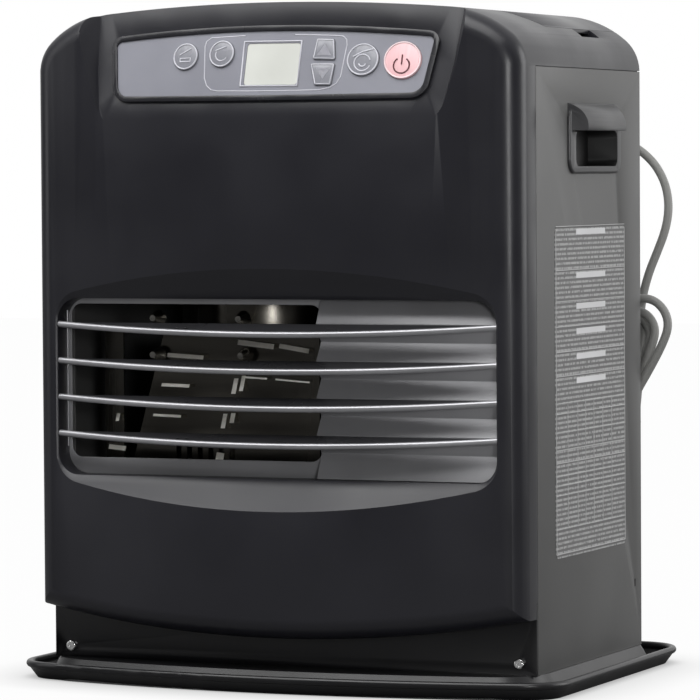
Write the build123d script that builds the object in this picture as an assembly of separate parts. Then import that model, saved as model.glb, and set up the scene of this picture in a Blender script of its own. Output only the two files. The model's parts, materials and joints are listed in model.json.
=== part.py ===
from build123d import *
from math import asin, atan2, ceil, cos, pi, radians, sin, sqrt, tan
import os

os.makedirs("parts", exist_ok=True)

# A free-standing fan-assisted paraffin heater. Millimetres, +Z up, front towards -Y.
# The origin is on the floor, at the middle of the drip tray.

# Sheet, walls and running gaps
SHEET = 1.2
WALL = 2.5
GAP = 0.3

# Drip tray
TRAY_WIDTH = 371.0
TRAY_DEPTH = 272.0
TRAY_BOW = 647.0
TRAY_CORNER = 30.0
RIM_RADIUS = 2.3
RIM_HEIGHT = 9.0
TRAY_DRAFT = 7.0
PLATEAU_HEIGHT = 13.2
PLATEAU_MARGIN = 1.5
PLATEAU_FRONT = -122.0
PLATEAU_BACK = 103.0
PLATEAU_CORNER = 34.0
PLATEAU_BACK_CORNER = 10.0
PLATEAU_SLOPE = 8.0

# Cabinet
CASE_WIDTH = 330.0
CASE_BACK = 101.0
PANEL_FRONT = -89.0
FLANGE = 14.0
FOOT_TOP = 58.0
FOOT_FRONT = -91.5
SCREW_HEAD = 3.4
SCREW_LENGTH = 6.0

# Front cover: outline seen from the front, and the bow seen from above
FACE_FRONT = -130.0
FACE_BOW = 890.0
FACE_EDGE = 14.0
ARCH_ENDS = 48.0
ARCH_MIDDLE = 33.0
SHOULDER_RADIUS = 27.0
SHOULDER_TURN = 50.0
CROWN_SIDE_RADIUS = 70.0
CROWN_SIDE_TURN = 35.6
CROWN_TOP = 427.8
SIDE_TOP = CROWN_TOP - 41.7
SEAM = 0.5

# Warm-air outlet in the front
OUTLET_HALF = 149.0
OUTLET_BOTTOM = 132.0
OUTLET_TOP = 243.8
OUTLET_CORNER = 14.0
OUTLET_PLANE = -116.5
OUTLET_FLARE = 55.0
JAMB_BACK = -101.3
WINDOW_LEFT = -147.0
WINDOW_RIGHT = 26.4
WINDOW_BOTTOM = 142.3
WINDOW_TOP = 239.9
WINDOW_CORNER = 7.0
BLADE_COUNT = 4
BLADE_TOP = 226.8
BLADE_PITCH = 23.0
BLADE_TILT = 23.0
BLADE_REACH = 13.0
BLADE_SHEET = 1.0
BLADE_HEM = 2.6
STEP_DEPTH = 7.5

# Control panel, on a surface that leans back
PANEL_LEAN = 16.0
PANEL_Y = -120.5
PANEL_Z = CROWN_TOP - 37.8
BEZEL_RISE = 2.0
BEZEL_BORDER = 3.4
FASCIA_SHEET = 1.8
KEY_RISE = 1.1
KEY_DEPTH = 3.0
KEY_TRAVEL = 0.8

# Side grips
GRIP_FRONT = -34.0
GRIP_BACK = 60.0
GRIP_BOTTOM = SIDE_TOP - 65.6
GRIP_TOP = SIDE_TOP - 21.6
GRIP_RISE = 2.0
GRIP_REACH = 20.0
HOOD_RISE = 10.0
HOOD_BACK = 46.0
HOLD_BOTTOM = GRIP_BOTTOM + 4.5
HOLD_TOP = GRIP_TOP - 17.0

# Tank lid
LID_LEFT = 22.0
LID_RIGHT = 147.6
LID_FRONT = -39.0
LID_CHAMFER = 12.0
LID_SHEET = 2.2
HINGE_INSET = 4.0
HINGE_DROP = 2.6
HINGE_GAP = 1.2
BARREL = 2.4
PIN = 1.2

AXES = {"X": (1, 0, 0), "Y": (0, 1, 0), "Z": (0, 0, 1)}
half_case = CASE_WIDTH / 2
inside = half_case - SHEET


def save(name, shape):
    """Write one named piece."""
    export_step(shape, f"parts/{name}.step")


def block(x0, x1, y0, y1, z0, z1):
    """A plain block between two corners."""
    middle = Pos((x0 + x1) / 2, (y0 + y1) / 2, (z0 + z1) / 2)
    return middle * Box(x1 - x0, y1 - y0, z1 - z0)


def rod(start, axis, length, radius, bore=0):
    """A round bar or tube from a point along an axis."""
    disc = Circle(radius)
    if bore:
        disc -= Circle(bore)
    return extrude(Plane(start, z_dir=AXES[axis]) * disc, length)


def upright(x0, x1, z0, z1, corner, y):
    """A rounded rectangle that stands at a depth and faces the back."""
    face = RectangleRounded(x1 - x0, z1 - z0, corner)
    return Plane(((x0 + x1) / 2, y, (z0 + z1) / 2), x_dir=(-1, 0, 0), z_dir=(0, 1, 0)) * face


def bowed_plan(half_width, front, back, bow, corner, back_corner):
    """A plan with straight sides and back, and a bowed front."""
    edge = front + bow - sqrt(bow**2 - half_width**2)
    bowed = ThreePointArc((-half_width, edge), (0, front), (half_width, edge))
    rest = Polyline((half_width, edge), (half_width, back), (-half_width, back), (-half_width, edge))
    face = make_face([bowed, rest])
    face = fillet(face.vertices().group_by(Axis.Y)[0], corner)
    return fillet(face.vertices().group_by(Axis.Y)[-1], back_corner)


# Drip tray: one pressed sheet with a rolled rim, a gutter and a raised plateau
def tray_plan(inset):
    """The tray's outline, drawn in by an inset."""
    return bowed_plan(
        TRAY_WIDTH / 2 - inset,
        inset - TRAY_DEPTH / 2,
        TRAY_DEPTH / 2 - inset,
        TRAY_BOW - inset,
        TRAY_CORNER - inset,
        TRAY_CORNER - inset,
    )


def plateau_plan(grow):
    """The plateau's outline, grown by a margin."""
    return bowed_plan(
        half_case + PLATEAU_MARGIN + grow,
        PLATEAU_FRONT - grow,
        PLATEAU_BACK + grow,
        TRAY_BOW + PLATEAU_FRONT + TRAY_DEPTH / 2 + grow,
        PLATEAU_CORNER + grow,
        PLATEAU_BACK_CORNER + grow,
    )


tray = loft([tray_plan(TRAY_DRAFT), Pos(0, 0, RIM_HEIGHT) * tray_plan(0.4)], ruled=True)
tray -= loft(
    [Pos(0, 0, SHEET) * tray_plan(TRAY_DRAFT + SHEET), Pos(0, 0, RIM_HEIGHT) * tray_plan(0.4 + SHEET)],
    ruled=True,
)
rim_path = (Pos(0, 0, RIM_HEIGHT) * tray_plan(RIM_RADIUS)).wires()[0]
tray += sweep((rim_path ^ 0) * Circle(RIM_RADIUS), path=rim_path)
tray += loft([plateau_plan(PLATEAU_SLOPE), Pos(0, 0, PLATEAU_HEIGHT) * plateau_plan(0)], ruled=True)
tray -= loft(
    [plateau_plan(PLATEAU_SLOPE - SHEET), Pos(0, 0, PLATEAU_HEIGHT - SHEET) * plateau_plan(-SHEET)],
    ruled=True,
)
save("base_tray", tray)

# Cabinet floor, which stands on the plateau and carries the works
floor_top = PLATEAU_HEIGHT + SHEET
floor_front = FOOT_FRONT + SHEET + GAP
floor_back = CASE_BACK - 2 * SHEET - GAP
floor = block(GAP - inside, inside - GAP, floor_front, floor_back, PLATEAU_HEIGHT, floor_top)
save("base_plate", floor)


# Front cover: one moulding for the front and the whole top
def front_outline(inset):
    """The cover's outline seen from the front, drawn in by an inset."""
    half = half_case - inset
    shoulder = SHOULDER_RADIUS - inset
    side = CROWN_SIDE_RADIUS - inset
    low = ARCH_ENDS + inset
    right_shoulder = JernArc((half, SIDE_TOP), (0, 1), shoulder, SHOULDER_TURN)
    right_crown = JernArc(right_shoulder @ 1, right_shoulder % 1, side, CROWN_SIDE_TURN)
    left_shoulder = JernArc((-half, SIDE_TOP), (0, 1), shoulder, -SHOULDER_TURN)
    left_crown = JernArc(left_shoulder @ 1, left_shoulder % 1, side, -CROWN_SIDE_TURN)
    crown = ThreePointArc(right_crown @ 1, (0, CROWN_TOP - inset), left_crown @ 1)
    right_side = Line((half, low), (half, SIDE_TOP))
    left_side = Line((-half, SIDE_TOP), (-half, low))
    arch = ThreePointArc((-half, low), (0, ARCH_MIDDLE + inset), (half, low))
    upper = [right_shoulder, right_crown, crown, left_crown, left_shoulder]
    return make_face(upper + [right_side, left_side, arch])


def cover_form(inset):
    """The cover's outer form, or the form inside its wall."""
    outline = Plane((0, FACE_FRONT - 5, 0), x_dir=(1, 0, 0), z_dir=(0, -1, 0)) * front_outline(inset)
    form = extrude(outline, FACE_FRONT - 5 - CASE_BACK)
    form &= Pos(0, FACE_FRONT + FACE_BOW, CROWN_TOP / 2) * Cylinder(FACE_BOW - inset, CROWN_TOP * 2)
    front_edges = [edge for edge in form.edges() if edge.bounding_box().max.Y < PANEL_FRONT - 2]
    return fillet(front_edges, FACE_EDGE - inset)


def outlet_face(grow, y):
    """The outlet's opening as a face towards the front."""
    face = RectangleRounded(
        2 * (OUTLET_HALF + grow), OUTLET_TOP - OUTLET_BOTTOM + 2 * grow, OUTLET_CORNER + grow
    )
    middle = (OUTLET_TOP + OUTLET_BOTTOM) / 2
    return Plane((0, y, middle), x_dir=(1, 0, 0), z_dir=(0, -1, 0)) * face


lean = radians(PANEL_LEAN)
panel_plane = Plane((0, PANEL_Y, PANEL_Z), x_dir=(1, 0, 0), z_dir=(0, -cos(lean), sin(lean)))
RECESS_TOP = (125.0, 50.0)
RECESS_MIDDLE = (120.3, 0.0)
RECESS_BOTTOM = (113.5, -38.0)
RECESS_CORNER = 18.0
RECESS_DRAFT = 30.0
RECESS_START = 9.0


def both_sides(points):
    """Points of a right half, in order, then the mirrored left half."""
    return points + [(-x, y) for x, y in reversed(points)]


def panel_bar(radius):
    """The round bar whose bow the control surface follows."""
    middle = panel_plane.origin - panel_plane.z_dir * FACE_BOW
    return Plane(middle, x_dir=(1, 0, 0), z_dir=panel_plane.y_dir) * Cylinder(radius, 400)


def recess_form(grow):
    """What the control recess takes out of the cover, or that plus its wall."""
    points = both_sides([RECESS_BOTTOM, RECESS_MIDDLE, RECESS_TOP])
    face = make_face(Polyline(points, close=True))
    face = fillet(face.vertices().group_by(Axis.Y)[0], RECESS_CORNER)
    if grow:
        face = offset(face, grow / cos(radians(RECESS_DRAFT)))
    start = panel_plane.offset(-RECESS_START)
    return extrude(start * face, 70, taper=-RECESS_DRAFT) - panel_bar(FACE_BOW - grow)


crown_drop = CROWN_TOP - front_outline(0).vertices().sort_by(Axis.Y)[-1].Y
crown_span = abs(front_outline(0).vertices().sort_by(Axis.Y)[-1].X)
crown_radius = (crown_span**2 + crown_drop**2) / (2 * crown_drop)
hinge_x = LID_LEFT + HINGE_INSET
hinge_z = CROWN_TOP - crown_radius + sqrt(crown_radius**2 - hinge_x**2) - HINGE_DROP
NOTCH_FRONT = 20.0
NOTCH_BACK = 52.0
NOTCH_BOTTOM = CROWN_TOP - 21.7
NOTCH_TOP = CROWN_TOP - 8.7
NOTCH_DEPTH = 7.5
EAR_LENGTH = 6.0
BARREL_LENGTH = 8.0


def lid_prism(grow, left):
    """The lid's plan, grown all round, as a tall block."""
    points = [
        (left, LID_FRONT - grow),
        (LID_RIGHT - LID_CHAMFER + grow, LID_FRONT - grow),
        (LID_RIGHT + grow, LID_FRONT + LID_CHAMFER - grow),
        (LID_RIGHT + grow, CASE_BACK + 1),
        (left, CASE_BACK + 1),
    ]
    return extrude(Pos(0, 0, SIDE_TOP + SEAM) * make_face(Polyline(points, close=True)), 60)


def hinge_rod(y, length, radius, bore=0):
    """A bar or tube on the lid's hinge line."""
    return rod((hinge_x, y, hinge_z), "Y", length, radius, bore)


outer_form = cover_form(0)
inner_form = cover_form(WALL)
deep_form = cover_form(2 * WALL)
flare_wall = WALL / cos(radians(OUTLET_FLARE))
far = CASE_WIDTH
cavity = inner_form & block(-far, far, -far, CASE_BACK - WALL, 0, 2 * far)
cavity -= extrude(outlet_face(flare_wall, OUTLET_PLANE), 25, taper=-OUTLET_FLARE)
cavity -= extrude(outlet_face(WALL, JAMB_BACK), JAMB_BACK - OUTLET_PLANE + 1)
cavity -= recess_form(WALL)
cover = outer_form - cavity
cover -= extrude(outlet_face(0, OUTLET_PLANE), 25, taper=-OUTLET_FLARE)
cover -= extrude(outlet_face(0, JAMB_BACK + 1), JAMB_BACK - OUTLET_PLANE + 5)
cover -= recess_form(0)
cover -= block(-far, far, PANEL_FRONT - SEAM, far, 0, SIDE_TOP + SEAM)
cover -= block(-far, far, FOOT_FRONT - GAP, far, 0, FOOT_TOP + GAP)
top_wall = outer_form - inner_form
cover -= lid_prism(SEAM, LID_LEFT - HINGE_GAP) & top_wall
ledge = (inner_form - deep_form) & (lid_prism(WALL, hinge_x + 8) - lid_prism(-WALL, hinge_x + 8))
cover += ledge & block(-far, far, -far, CASE_BACK, 0, 2 * far)
cover -= block(LID_RIGHT - 3, LID_RIGHT + NOTCH_DEPTH, NOTCH_FRONT, NOTCH_BACK, NOTCH_BOTTOM, NOTCH_TOP)
ear_front = LID_FRONT - SEAM - EAR_LENGTH
cover += hinge_rod(ear_front, EAR_LENGTH, BARREL)
cover += hinge_rod(CASE_BACK - WALL, WALL, BARREL)
cover -= hinge_rod(ear_front, EAR_LENGTH, PIN + 0.15)
cover -= hinge_rod(CASE_BACK - WALL, WALL + 1, PIN + 0.15)
lid = lid_prism(0, LID_LEFT) & (outer_form - cover_form(LID_SHEET))
lid -= block(0, hinge_x + BARREL + GAP, CASE_BACK - WALL - GAP, far, 0, 2 * far)
lid += hinge_rod(LID_FRONT, BARREL_LENGTH, BARREL)
lid += hinge_rod(CASE_BACK - WALL - GAP - BARREL_LENGTH, BARREL_LENGTH, BARREL)
lid -= hinge_rod(LID_FRONT - 1, far, PIN + 0.15)
save("tank_lid", lid)
pins = hinge_rod(ear_front, EAR_LENGTH + SEAM + BARREL_LENGTH, PIN)
pins += hinge_rod(CASE_BACK - WALL - GAP - BARREL_LENGTH, BARREL_LENGTH + GAP + WALL, PIN)
save("lid_hinge_pins", pins)

# Moulded side grips: a raised rim round a deep hold, with a hood over its top half
GRIP_CORNER = 9.0
HOLD_CORNER = 5.0
HOLD_WALL = 2.0
HOLD_FRONT = GRIP_FRONT + 10.0
HOLD_BACK = GRIP_BACK - 8.0


def side_face(y0, y1, z0, z1, corner, x):
    """A rounded rectangle on the right side, facing outwards."""
    face = RectangleRounded(y1 - y0, z1 - z0, corner)
    return Plane((x, (y0 + y1) / 2, (z0 + z1) / 2), x_dir=(0, 1, 0), z_dir=(1, 0, 0)) * face


def hold_face(grow, x):
    """The finger hold's mouth, grown by a wall."""
    return side_face(
        HOLD_FRONT - grow, HOLD_BACK + grow, HOLD_BOTTOM - grow, HOLD_TOP + grow, HOLD_CORNER + grow, x
    )


def hood_solid(inset):
    """The quarter-round hood over the hold, or the space inside it."""
    rise = HOOD_RISE - inset
    height = GRIP_TOP - HOLD_TOP - inset
    corner = (half_case, HOLD_TOP)
    lip = (half_case + rise, HOLD_TOP)
    peak = (half_case, HOLD_TOP + height)
    arc = ThreePointArc(lip, (half_case + rise * sqrt(0.5), HOLD_TOP + height * sqrt(0.5)), peak)
    face = make_face([arc, Polyline(peak, corner, lip)])
    plane = Plane((0, HOOD_BACK - inset, 0), x_dir=(1, 0, 0), z_dir=(0, -1, 0))
    hood = extrude(plane * face, HOOD_BACK - GRIP_FRONT - inset)
    slope = Plane((half_case, GRIP_FRONT + inset, HOLD_TOP), z_dir=(1, -1, 0))
    return split(hood, bisect_by=slope, keep=Keep.BOTTOM)


grip = extrude(side_face(GRIP_FRONT, GRIP_BACK, GRIP_BOTTOM, GRIP_TOP, GRIP_CORNER, half_case), GRIP_RISE)
grip = fillet(grip.faces().sort_by(Axis.X)[-1].edges(), GRIP_RISE * 0.7)
grip += hood_solid(0)
grip += extrude(hold_face(HOLD_WALL, half_case - GRIP_REACH), GRIP_REACH)
grip -= extrude(hold_face(0, half_case - GRIP_REACH + HOLD_WALL), 2 * GRIP_REACH)
grip -= Pos(0, 0, -1) * hood_solid(HOLD_WALL)
left_grip = mirror(grip, Plane.YZ)
save("right_handle", grip)
save("left_handle", left_grip)

# Folded side sheets, with a flange at the front and one behind for the rear sheet
SLOT_Y = 88.7
SLOT_WIDTH = 2.4
SLOT_BOTTOM = 52.0
SLOT_TOP = 57.0
rear_front = CASE_BACK - SHEET
flange_edge = half_case - FLANGE
side_sheet = block(inside, half_case, PANEL_FRONT, CASE_BACK, PLATEAU_HEIGHT, SIDE_TOP)
side_sheet += block(flange_edge, half_case, PANEL_FRONT, PANEL_FRONT + SHEET, floor_top + GAP, SIDE_TOP)
side_sheet += block(flange_edge, half_case, rear_front - SHEET, rear_front, floor_top + GAP, SIDE_TOP)
side_sheet -= extrude(hold_face(HOLD_WALL + GAP, inside - 1), 2 * SHEET + 2)
left_sheet = mirror(side_sheet, Plane.YZ)
side_sheet -= block(
    inside - 1, far, SLOT_Y - SLOT_WIDTH / 2, SLOT_Y + SLOT_WIDTH / 2, SLOT_BOTTOM, SLOT_TOP
)

# Plain rating sheet stuck on the right side
LABEL_FRONT = -58.0
LABEL_BACK = 70.0
LABEL_BOTTOM = 82.0
LABEL_TOP = GRIP_BOTTOM - 33.5
LABEL_SHEET = 0.3
label_face = side_face(LABEL_FRONT, LABEL_BACK, LABEL_BOTTOM, LABEL_TOP, 4, half_case)
save("side_label", extrude(label_face, LABEL_SHEET))


def pan_screw(start, axis, sign, shank, shank_length=SCREW_LENGTH):
    """A pan-head screw whose head stands out from a surface along an axis."""
    direction = Vector(*AXES[axis]) * sign
    plane = Plane(start, z_dir=direction)
    head = extrude(plane * Circle(SCREW_HEAD), SCREW_HEAD * 0.6)
    head = fillet(head.faces().sort_by(Axis(start, direction))[-1].edges(), SCREW_HEAD * 0.3)
    cross = plane.offset(SCREW_HEAD * 0.3) * (Rectangle(SCREW_HEAD, 0.8) + Rectangle(0.8, SCREW_HEAD))
    head -= extrude(cross, SCREW_HEAD)
    return head + extrude(plane * Circle(shank), -shank_length)


# Black plate below the cover, and the two screws that hold it
FOOT_SCREW_X = 153.55
FOOT_SCREW_Z = 20.2
SHANK = 1.5
foot = block(-half_case, half_case, FOOT_FRONT, FOOT_FRONT + SHEET, PLATEAU_HEIGHT, FOOT_TOP)
foot_screws = []
for x in (-FOOT_SCREW_X, FOOT_SCREW_X):
    foot_screws.append(pan_screw((x, FOOT_FRONT, FOOT_SCREW_Z), "Y", -1, SHANK))
    bore = rod((x, FOOT_FRONT - 1, FOOT_SCREW_Z), "Y", 10, SHANK + 0.1)
    foot -= bore
    side_sheet -= bore
    left_sheet -= bore
save("foot_plate", foot)
save("foot_plate_screws", Compound(children=foot_screws))

# Four fixed blades across the outlet: a bowed sheet with a hemmed front lip
BLADE_END = OUTLET_HALF - GAP
BLADE_BACK = 3.0
HEM_WIDTH = 3.0


def blade_outline(front, back):
    """A crescent in the blade's own plane, from a bowed lip to a straight back."""
    lip = ThreePointArc((-BLADE_END, -front), (0, -BLADE_REACH - front), (BLADE_END, -front))
    rest = Polyline((BLADE_END, -front), (BLADE_END, back), (-BLADE_END, back), (-BLADE_END, -front))
    return make_face([lip, rest])


blade_tilt = radians(BLADE_TILT)
for number in range(BLADE_COUNT):
    height = BLADE_TOP - number * BLADE_PITCH
    plane = Plane((0, OUTLET_PLANE, height), x_dir=(1, 0, 0), z_dir=(0, -sin(blade_tilt), cos(blade_tilt)))
    blade = extrude(plane * blade_outline(0, BLADE_BACK), BLADE_SHEET)
    lip = blade_outline(0, BLADE_BACK) - Pos(0, HEM_WIDTH) * blade_outline(0, 4 * BLADE_BACK)
    blade += extrude(plane.offset(BLADE_SHEET - BLADE_HEM) * lip, BLADE_HEM)
    save(f"louvre_blade_{number + 1}", blade)

# Sheet frame round the burner window, fixed to the back of the jamb
FRAME_BORDER = 6.0
frame_y = JAMB_BACK + GAP
frame_half = OUTLET_HALF + FRAME_BORDER
frame_bottom = OUTLET_BOTTOM - FRAME_BORDER
frame_top = OUTLET_TOP + FRAME_BORDER
frame = extrude(upright(-frame_half, frame_half, frame_bottom, frame_top, OUTLET_CORNER, frame_y), SHEET)
window = upright(WINDOW_LEFT, WINDOW_RIGHT, WINDOW_BOTTOM, WINDOW_TOP, WINDOW_CORNER, frame_y - 1)
frame -= extrude(window, SHEET + 2)
save("outlet_frame", frame)

# Stepped sheet that closes the right part of the outlet
STEP_OFFSET = 1.8
steps = [(OUTLET_TOP - GAP, 0)]
for number in range(BLADE_COUNT):
    lip_z = BLADE_TOP + STEP_OFFSET - number * BLADE_PITCH
    steps.append((lip_z, STEP_DEPTH))
    steps.append((lip_z - BLADE_PITCH / 2, 0))
steps.append((OUTLET_BOTTOM + GAP, STEP_DEPTH))
sheet_y = frame_y - SHEET - GAP
front_line = [(sheet_y - depth, z) for z, depth in steps]
back_line = [(y + SHEET, z) for y, z in reversed(front_line)]
profile = Plane((WINDOW_RIGHT + GAP, 0, 0), x_dir=(0, 1, 0), z_dir=(1, 0, 0)) * make_face(
    Polyline(front_line + back_line, close=True)
)
closing = extrude(profile, OUTLET_HALF - WINDOW_RIGHT - 2 * GAP)
opening_core = extrude(outlet_face(-GAP, JAMB_BACK + 1), JAMB_BACK - OUTLET_PLANE + 5)
closing &= opening_core
save("closing_sheet", closing)

# Control panel: a bowed bezel and fascia with six sprung keys and a display
BEZEL_SEAT = 2.6
PANEL_TOP_CORNER = (112.0, 19.9)
PANEL_TOP_MIDDLE = (0.0, 23.7)
PANEL_LOW_CORNER = (105.8, -22.3)
PANEL_LOW_MIDDLE = (0.0, -24.6)
DISPLAY = (-14.4, 21.4, -14.3, 12.3)
FASCIA_FACE = 0.9
ROUND_KEYS = {
    "timer_button": (-56.6, 5.0, 8.5),
    "fan_button": (-31.4, 6.0, 8.5),
    "save_button": (63.5, 1.3, 10.25),
    "power_button": (89.0, 1.2, 11.75),
}
ARROW_KEYS = {
    "up_button": [(32.2, 14.8), (43.6, 14.4), (45.7, 1.2), (30.5, 1.6)],
    "down_button": [(29.6, -1.2), (45.6, -1.2), (44.3, -15.0), (33.6, -15.0)],
}
BOARD_DEPTH = 15.0
BOARD_SHEET = 1.6
BOARD_HALF = (100.0, 17.0)
POSTS = [(-96.0, 9.0), (-96.0, -13.0), (54.0, 15.5), (54.0, -16.0)]
POST_RADIUS = 3.0


def panel_outline(inset):
    """The control panel's outline, drawn in by an inset."""
    top_x, top_y = PANEL_TOP_CORNER
    low_x, low_y = PANEL_LOW_CORNER
    top = ThreePointArc((-top_x, top_y), PANEL_TOP_MIDDLE, (top_x, top_y))
    low = ThreePointArc((-low_x, low_y), PANEL_LOW_MIDDLE, (low_x, low_y))
    sides = [Line((top_x, top_y), (low_x, low_y)), Line((-top_x, top_y), (-low_x, low_y))]
    face = make_face([top, low] + sides)
    face = fillet(face.vertices().group_by(Axis.Y)[-1], 7)
    face = fillet(face.vertices().group_by(Axis.Y)[0], 12)
    return offset(face, -inset) if inset else face


def bowed_slab(face, low, high):
    """A plate cut from a face, between two depths that follow the bowed surface."""
    prism = extrude(panel_plane.offset(-3 * RECESS_START) * face, 6 * RECESS_START)
    return prism & (panel_bar(FACE_BOW + high) - panel_bar(FACE_BOW + low))


def key_face(name, grow):
    """A key's outline, grown by a margin."""
    if name in ROUND_KEYS:
        x, y, radius = ROUND_KEYS[name]
        return Pos(x, y) * Circle(radius + grow)
    face = make_face(Polyline(ARROW_KEYS[name], close=True))
    face = fillet(face.vertices(), 1.5)
    return offset(face, grow) if grow else face


cover -= extrude(panel_plane.offset(-2 * RECESS_START) * panel_outline(BEZEL_SEAT), 6 * RECESS_START)
save("front_cover", cover)
ring = panel_outline(0) - panel_outline(BEZEL_BORDER)
save("control_bezel", bowed_slab(ring, 0, BEZEL_RISE))
fascia_back = FASCIA_FACE - FASCIA_SHEET
fascia = bowed_slab(panel_outline(BEZEL_BORDER + GAP / 2), fascia_back, FASCIA_FACE)
x0, x1, y0, y1 = DISPLAY
display = Pos((x0 + x1) / 2, (y0 + y1) / 2) * RectangleRounded(x1 - x0, y1 - y0, 2)
fascia -= bowed_slab(offset(display, GAP / 2), -RECESS_START, RECESS_START)
save("lcd_window", bowed_slab(display, fascia_back - 1, FASCIA_FACE - 0.3))
board_face = Rectangle(2 * BOARD_HALF[0], 2 * BOARD_HALF[1])
board = extrude(panel_plane.offset(-BOARD_DEPTH) * board_face, -BOARD_SHEET)
for x, y in POSTS:
    post = extrude(panel_plane.offset(-BOARD_DEPTH) * Pos(x, y) * Circle(POST_RADIUS), BOARD_DEPTH)
    fascia += post & panel_bar(FACE_BOW + fascia_back + 0.5)
for name in list(ROUND_KEYS) + list(ARROW_KEYS):
    face = key_face(name, 0)
    fascia -= bowed_slab(key_face(name, GAP), -RECESS_START, RECESS_START)
    key = bowed_slab(face, -KEY_DEPTH, KEY_RISE + FASCIA_FACE)
    key += bowed_slab(key_face(name, 1.2), -KEY_DEPTH, fascia_back - GAP)
    save(name, key)
    x, y = face.center().X, face.center().Y
    switch_face = Pos(x, y) * Rectangle(6, 6)
    switch = extrude(panel_plane.offset(-BOARD_DEPTH) * switch_face, BOARD_DEPTH)
    board += switch & panel_bar(FACE_BOW - KEY_DEPTH - KEY_TRAVEL - GAP)
save("control_fascia", fascia)
save("control_board", board)

# Rear sheet with the air inlet and the cord's hole
INLET = (-60.0, 235.0)
INLET_RADIUS = 78.0
CORD_EXIT = (112.0, 350.0)
CORD_HOLE = 8.0
REAR_SCREW_HEIGHTS = (20.0, 138.0, 254.0, SIDE_TOP - 16.1)
rear = block(GAP - inside, inside - GAP, rear_front, CASE_BACK, floor_top + GAP, SIDE_TOP)
rear -= rod((INLET[0], rear_front - 1, INLET[1]), "Y", 4, INLET_RADIUS)
rear -= rod((CORD_EXIT[0], rear_front - 1, CORD_EXIT[1]), "Y", 4, CORD_HOLE)
rear_screws = []
for x in (FLANGE / 2 - half_case, half_case - FLANGE / 2):
    for z in REAR_SCREW_HEIGHTS:
        rear_screws.append(pan_screw((x, CASE_BACK, z), "Y", 1, SHANK))
        bore = rod((x, CASE_BACK - 10, z), "Y", 12, SHANK + 0.1)
        rear -= bore
        side_sheet -= bore
        left_sheet -= bore
save("rear_panel", rear)
save("rear_screws", Compound(children=rear_screws))
save("right_side_panel", side_sheet)
save("left_side_panel", left_sheet)

# Room fan: guard and filter outside, shroud, bracket, motor and fan inside
GUARD_RADIUS = 92.0
GUARD_DEPTH = 8.0
GUARD_WALL = 2.4
GUARD_RINGS = (20.0, 32.0, 44.0, 56.0, 68.0, 80.0)
SPOKES = 8
FILTER_RADIUS = 86.0
FILTER_RIM = 4.0
SHROUD_FRONT = 70.0
SHROUD_BORE = 76.0
FAN_RADIUS = 72.0
FAN_FRONT = 74.0
FAN_DEPTH = 20.0
FAN_BLADES = 5
HUB_RADIUS = 18.0
VANE_ANGLE = 35.0
VANE_WIDTH = 42.0
VANE_SHEET = 1.8
MOTOR_RADIUS = 25.0
MOTOR_LENGTH = 30.0
SHAFT = 2.5


def inlet_rod(y, length, radius, bore=0):
    """A disc, bar or tube on the air inlet's centre line."""
    return rod((INLET[0], y, INLET[1]), "Y", length, radius, bore)


inlet_plane = Plane((INLET[0], 0, INLET[1]), x_dir=(-1, 0, 0), z_dir=(0, 1, 0))
grille = Circle(12) + Circle(GUARD_RADIUS) - Circle(GUARD_RADIUS - 6)
for radius in GUARD_RINGS:
    grille += Circle(radius + 1) - Circle(radius - 1)
for number in range(SPOKES // 2):
    grille += Rot(0, 0, number * 360 / SPOKES) * Rectangle(2 * GUARD_RADIUS - 4, 2.4)
guard = extrude(inlet_plane.offset(CASE_BACK + GUARD_DEPTH - GUARD_WALL) * grille, GUARD_WALL)
guard += inlet_rod(CASE_BACK + GAP, GUARD_DEPTH - GAP, GUARD_RADIUS, GUARD_RADIUS - GUARD_WALL)
save("fan_guard", guard)
rim_inside = FILTER_RADIUS - FILTER_RIM
air_filter = inlet_rod(CASE_BACK + 1, GUARD_DEPTH - GUARD_WALL - 1, FILTER_RADIUS, rim_inside)
air_filter += inlet_rod(CASE_BACK + 2, 1, FILTER_RADIUS)
save("air_filter", air_filter)
shroud = inlet_rod(SHROUD_FRONT, rear_front - SHROUD_FRONT, SHROUD_BORE + WALL, SHROUD_BORE)
shroud += inlet_rod(rear_front - WALL, WALL, SHROUD_BORE + 10, SHROUD_BORE)
save("fan_shroud", shroud)
bracket = inlet_rod(SHROUD_FRONT - 8, 8, MOTOR_RADIUS + WALL, MOTOR_RADIUS + 0.05)
arm = block(MOTOR_RADIUS + 1, SHROUD_BORE + WALL, -5, 5, SHROUD_FRONT - WALL, SHROUD_FRONT)
for number in range(3):
    bracket += inlet_plane * Rot(0, 0, 90 + number * 120) * arm
save("motor_bracket", bracket)
motor = inlet_rod(SHROUD_FRONT - MOTOR_LENGTH, MOTOR_LENGTH, MOTOR_RADIUS)
motor = fillet(motor.edges(), 2)
motor += inlet_rod(SHROUD_FRONT, FAN_FRONT + FAN_DEPTH - 1 - SHROUD_FRONT, SHAFT)
save("fan_motor", motor)
fan = inlet_rod(FAN_FRONT, FAN_DEPTH, HUB_RADIUS) - inlet_rod(FAN_FRONT - 1, FAN_DEPTH - 2, HUB_RADIUS - 2)
fan += inlet_rod(FAN_FRONT, FAN_DEPTH - 2, 6)
swept = inlet_rod(FAN_FRONT, FAN_DEPTH, FAN_RADIUS, HUB_RADIUS - 1)
vane_middle = Pos((HUB_RADIUS + FAN_RADIUS) / 2, 0, FAN_FRONT + FAN_DEPTH / 2)
vane = vane_middle * Rot(VANE_ANGLE, 0, 0) * Box(FAN_RADIUS - HUB_RADIUS + 10, VANE_WIDTH, VANE_SHEET)
for number in range(FAN_BLADES):
    fan += inlet_plane * Rot(0, 0, number * 360 / FAN_BLADES) * vane & swept
fan -= inlet_rod(FAN_FRONT - 1, FAN_DEPTH, SHAFT + 0.15)
save("room_fan", fan)

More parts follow.
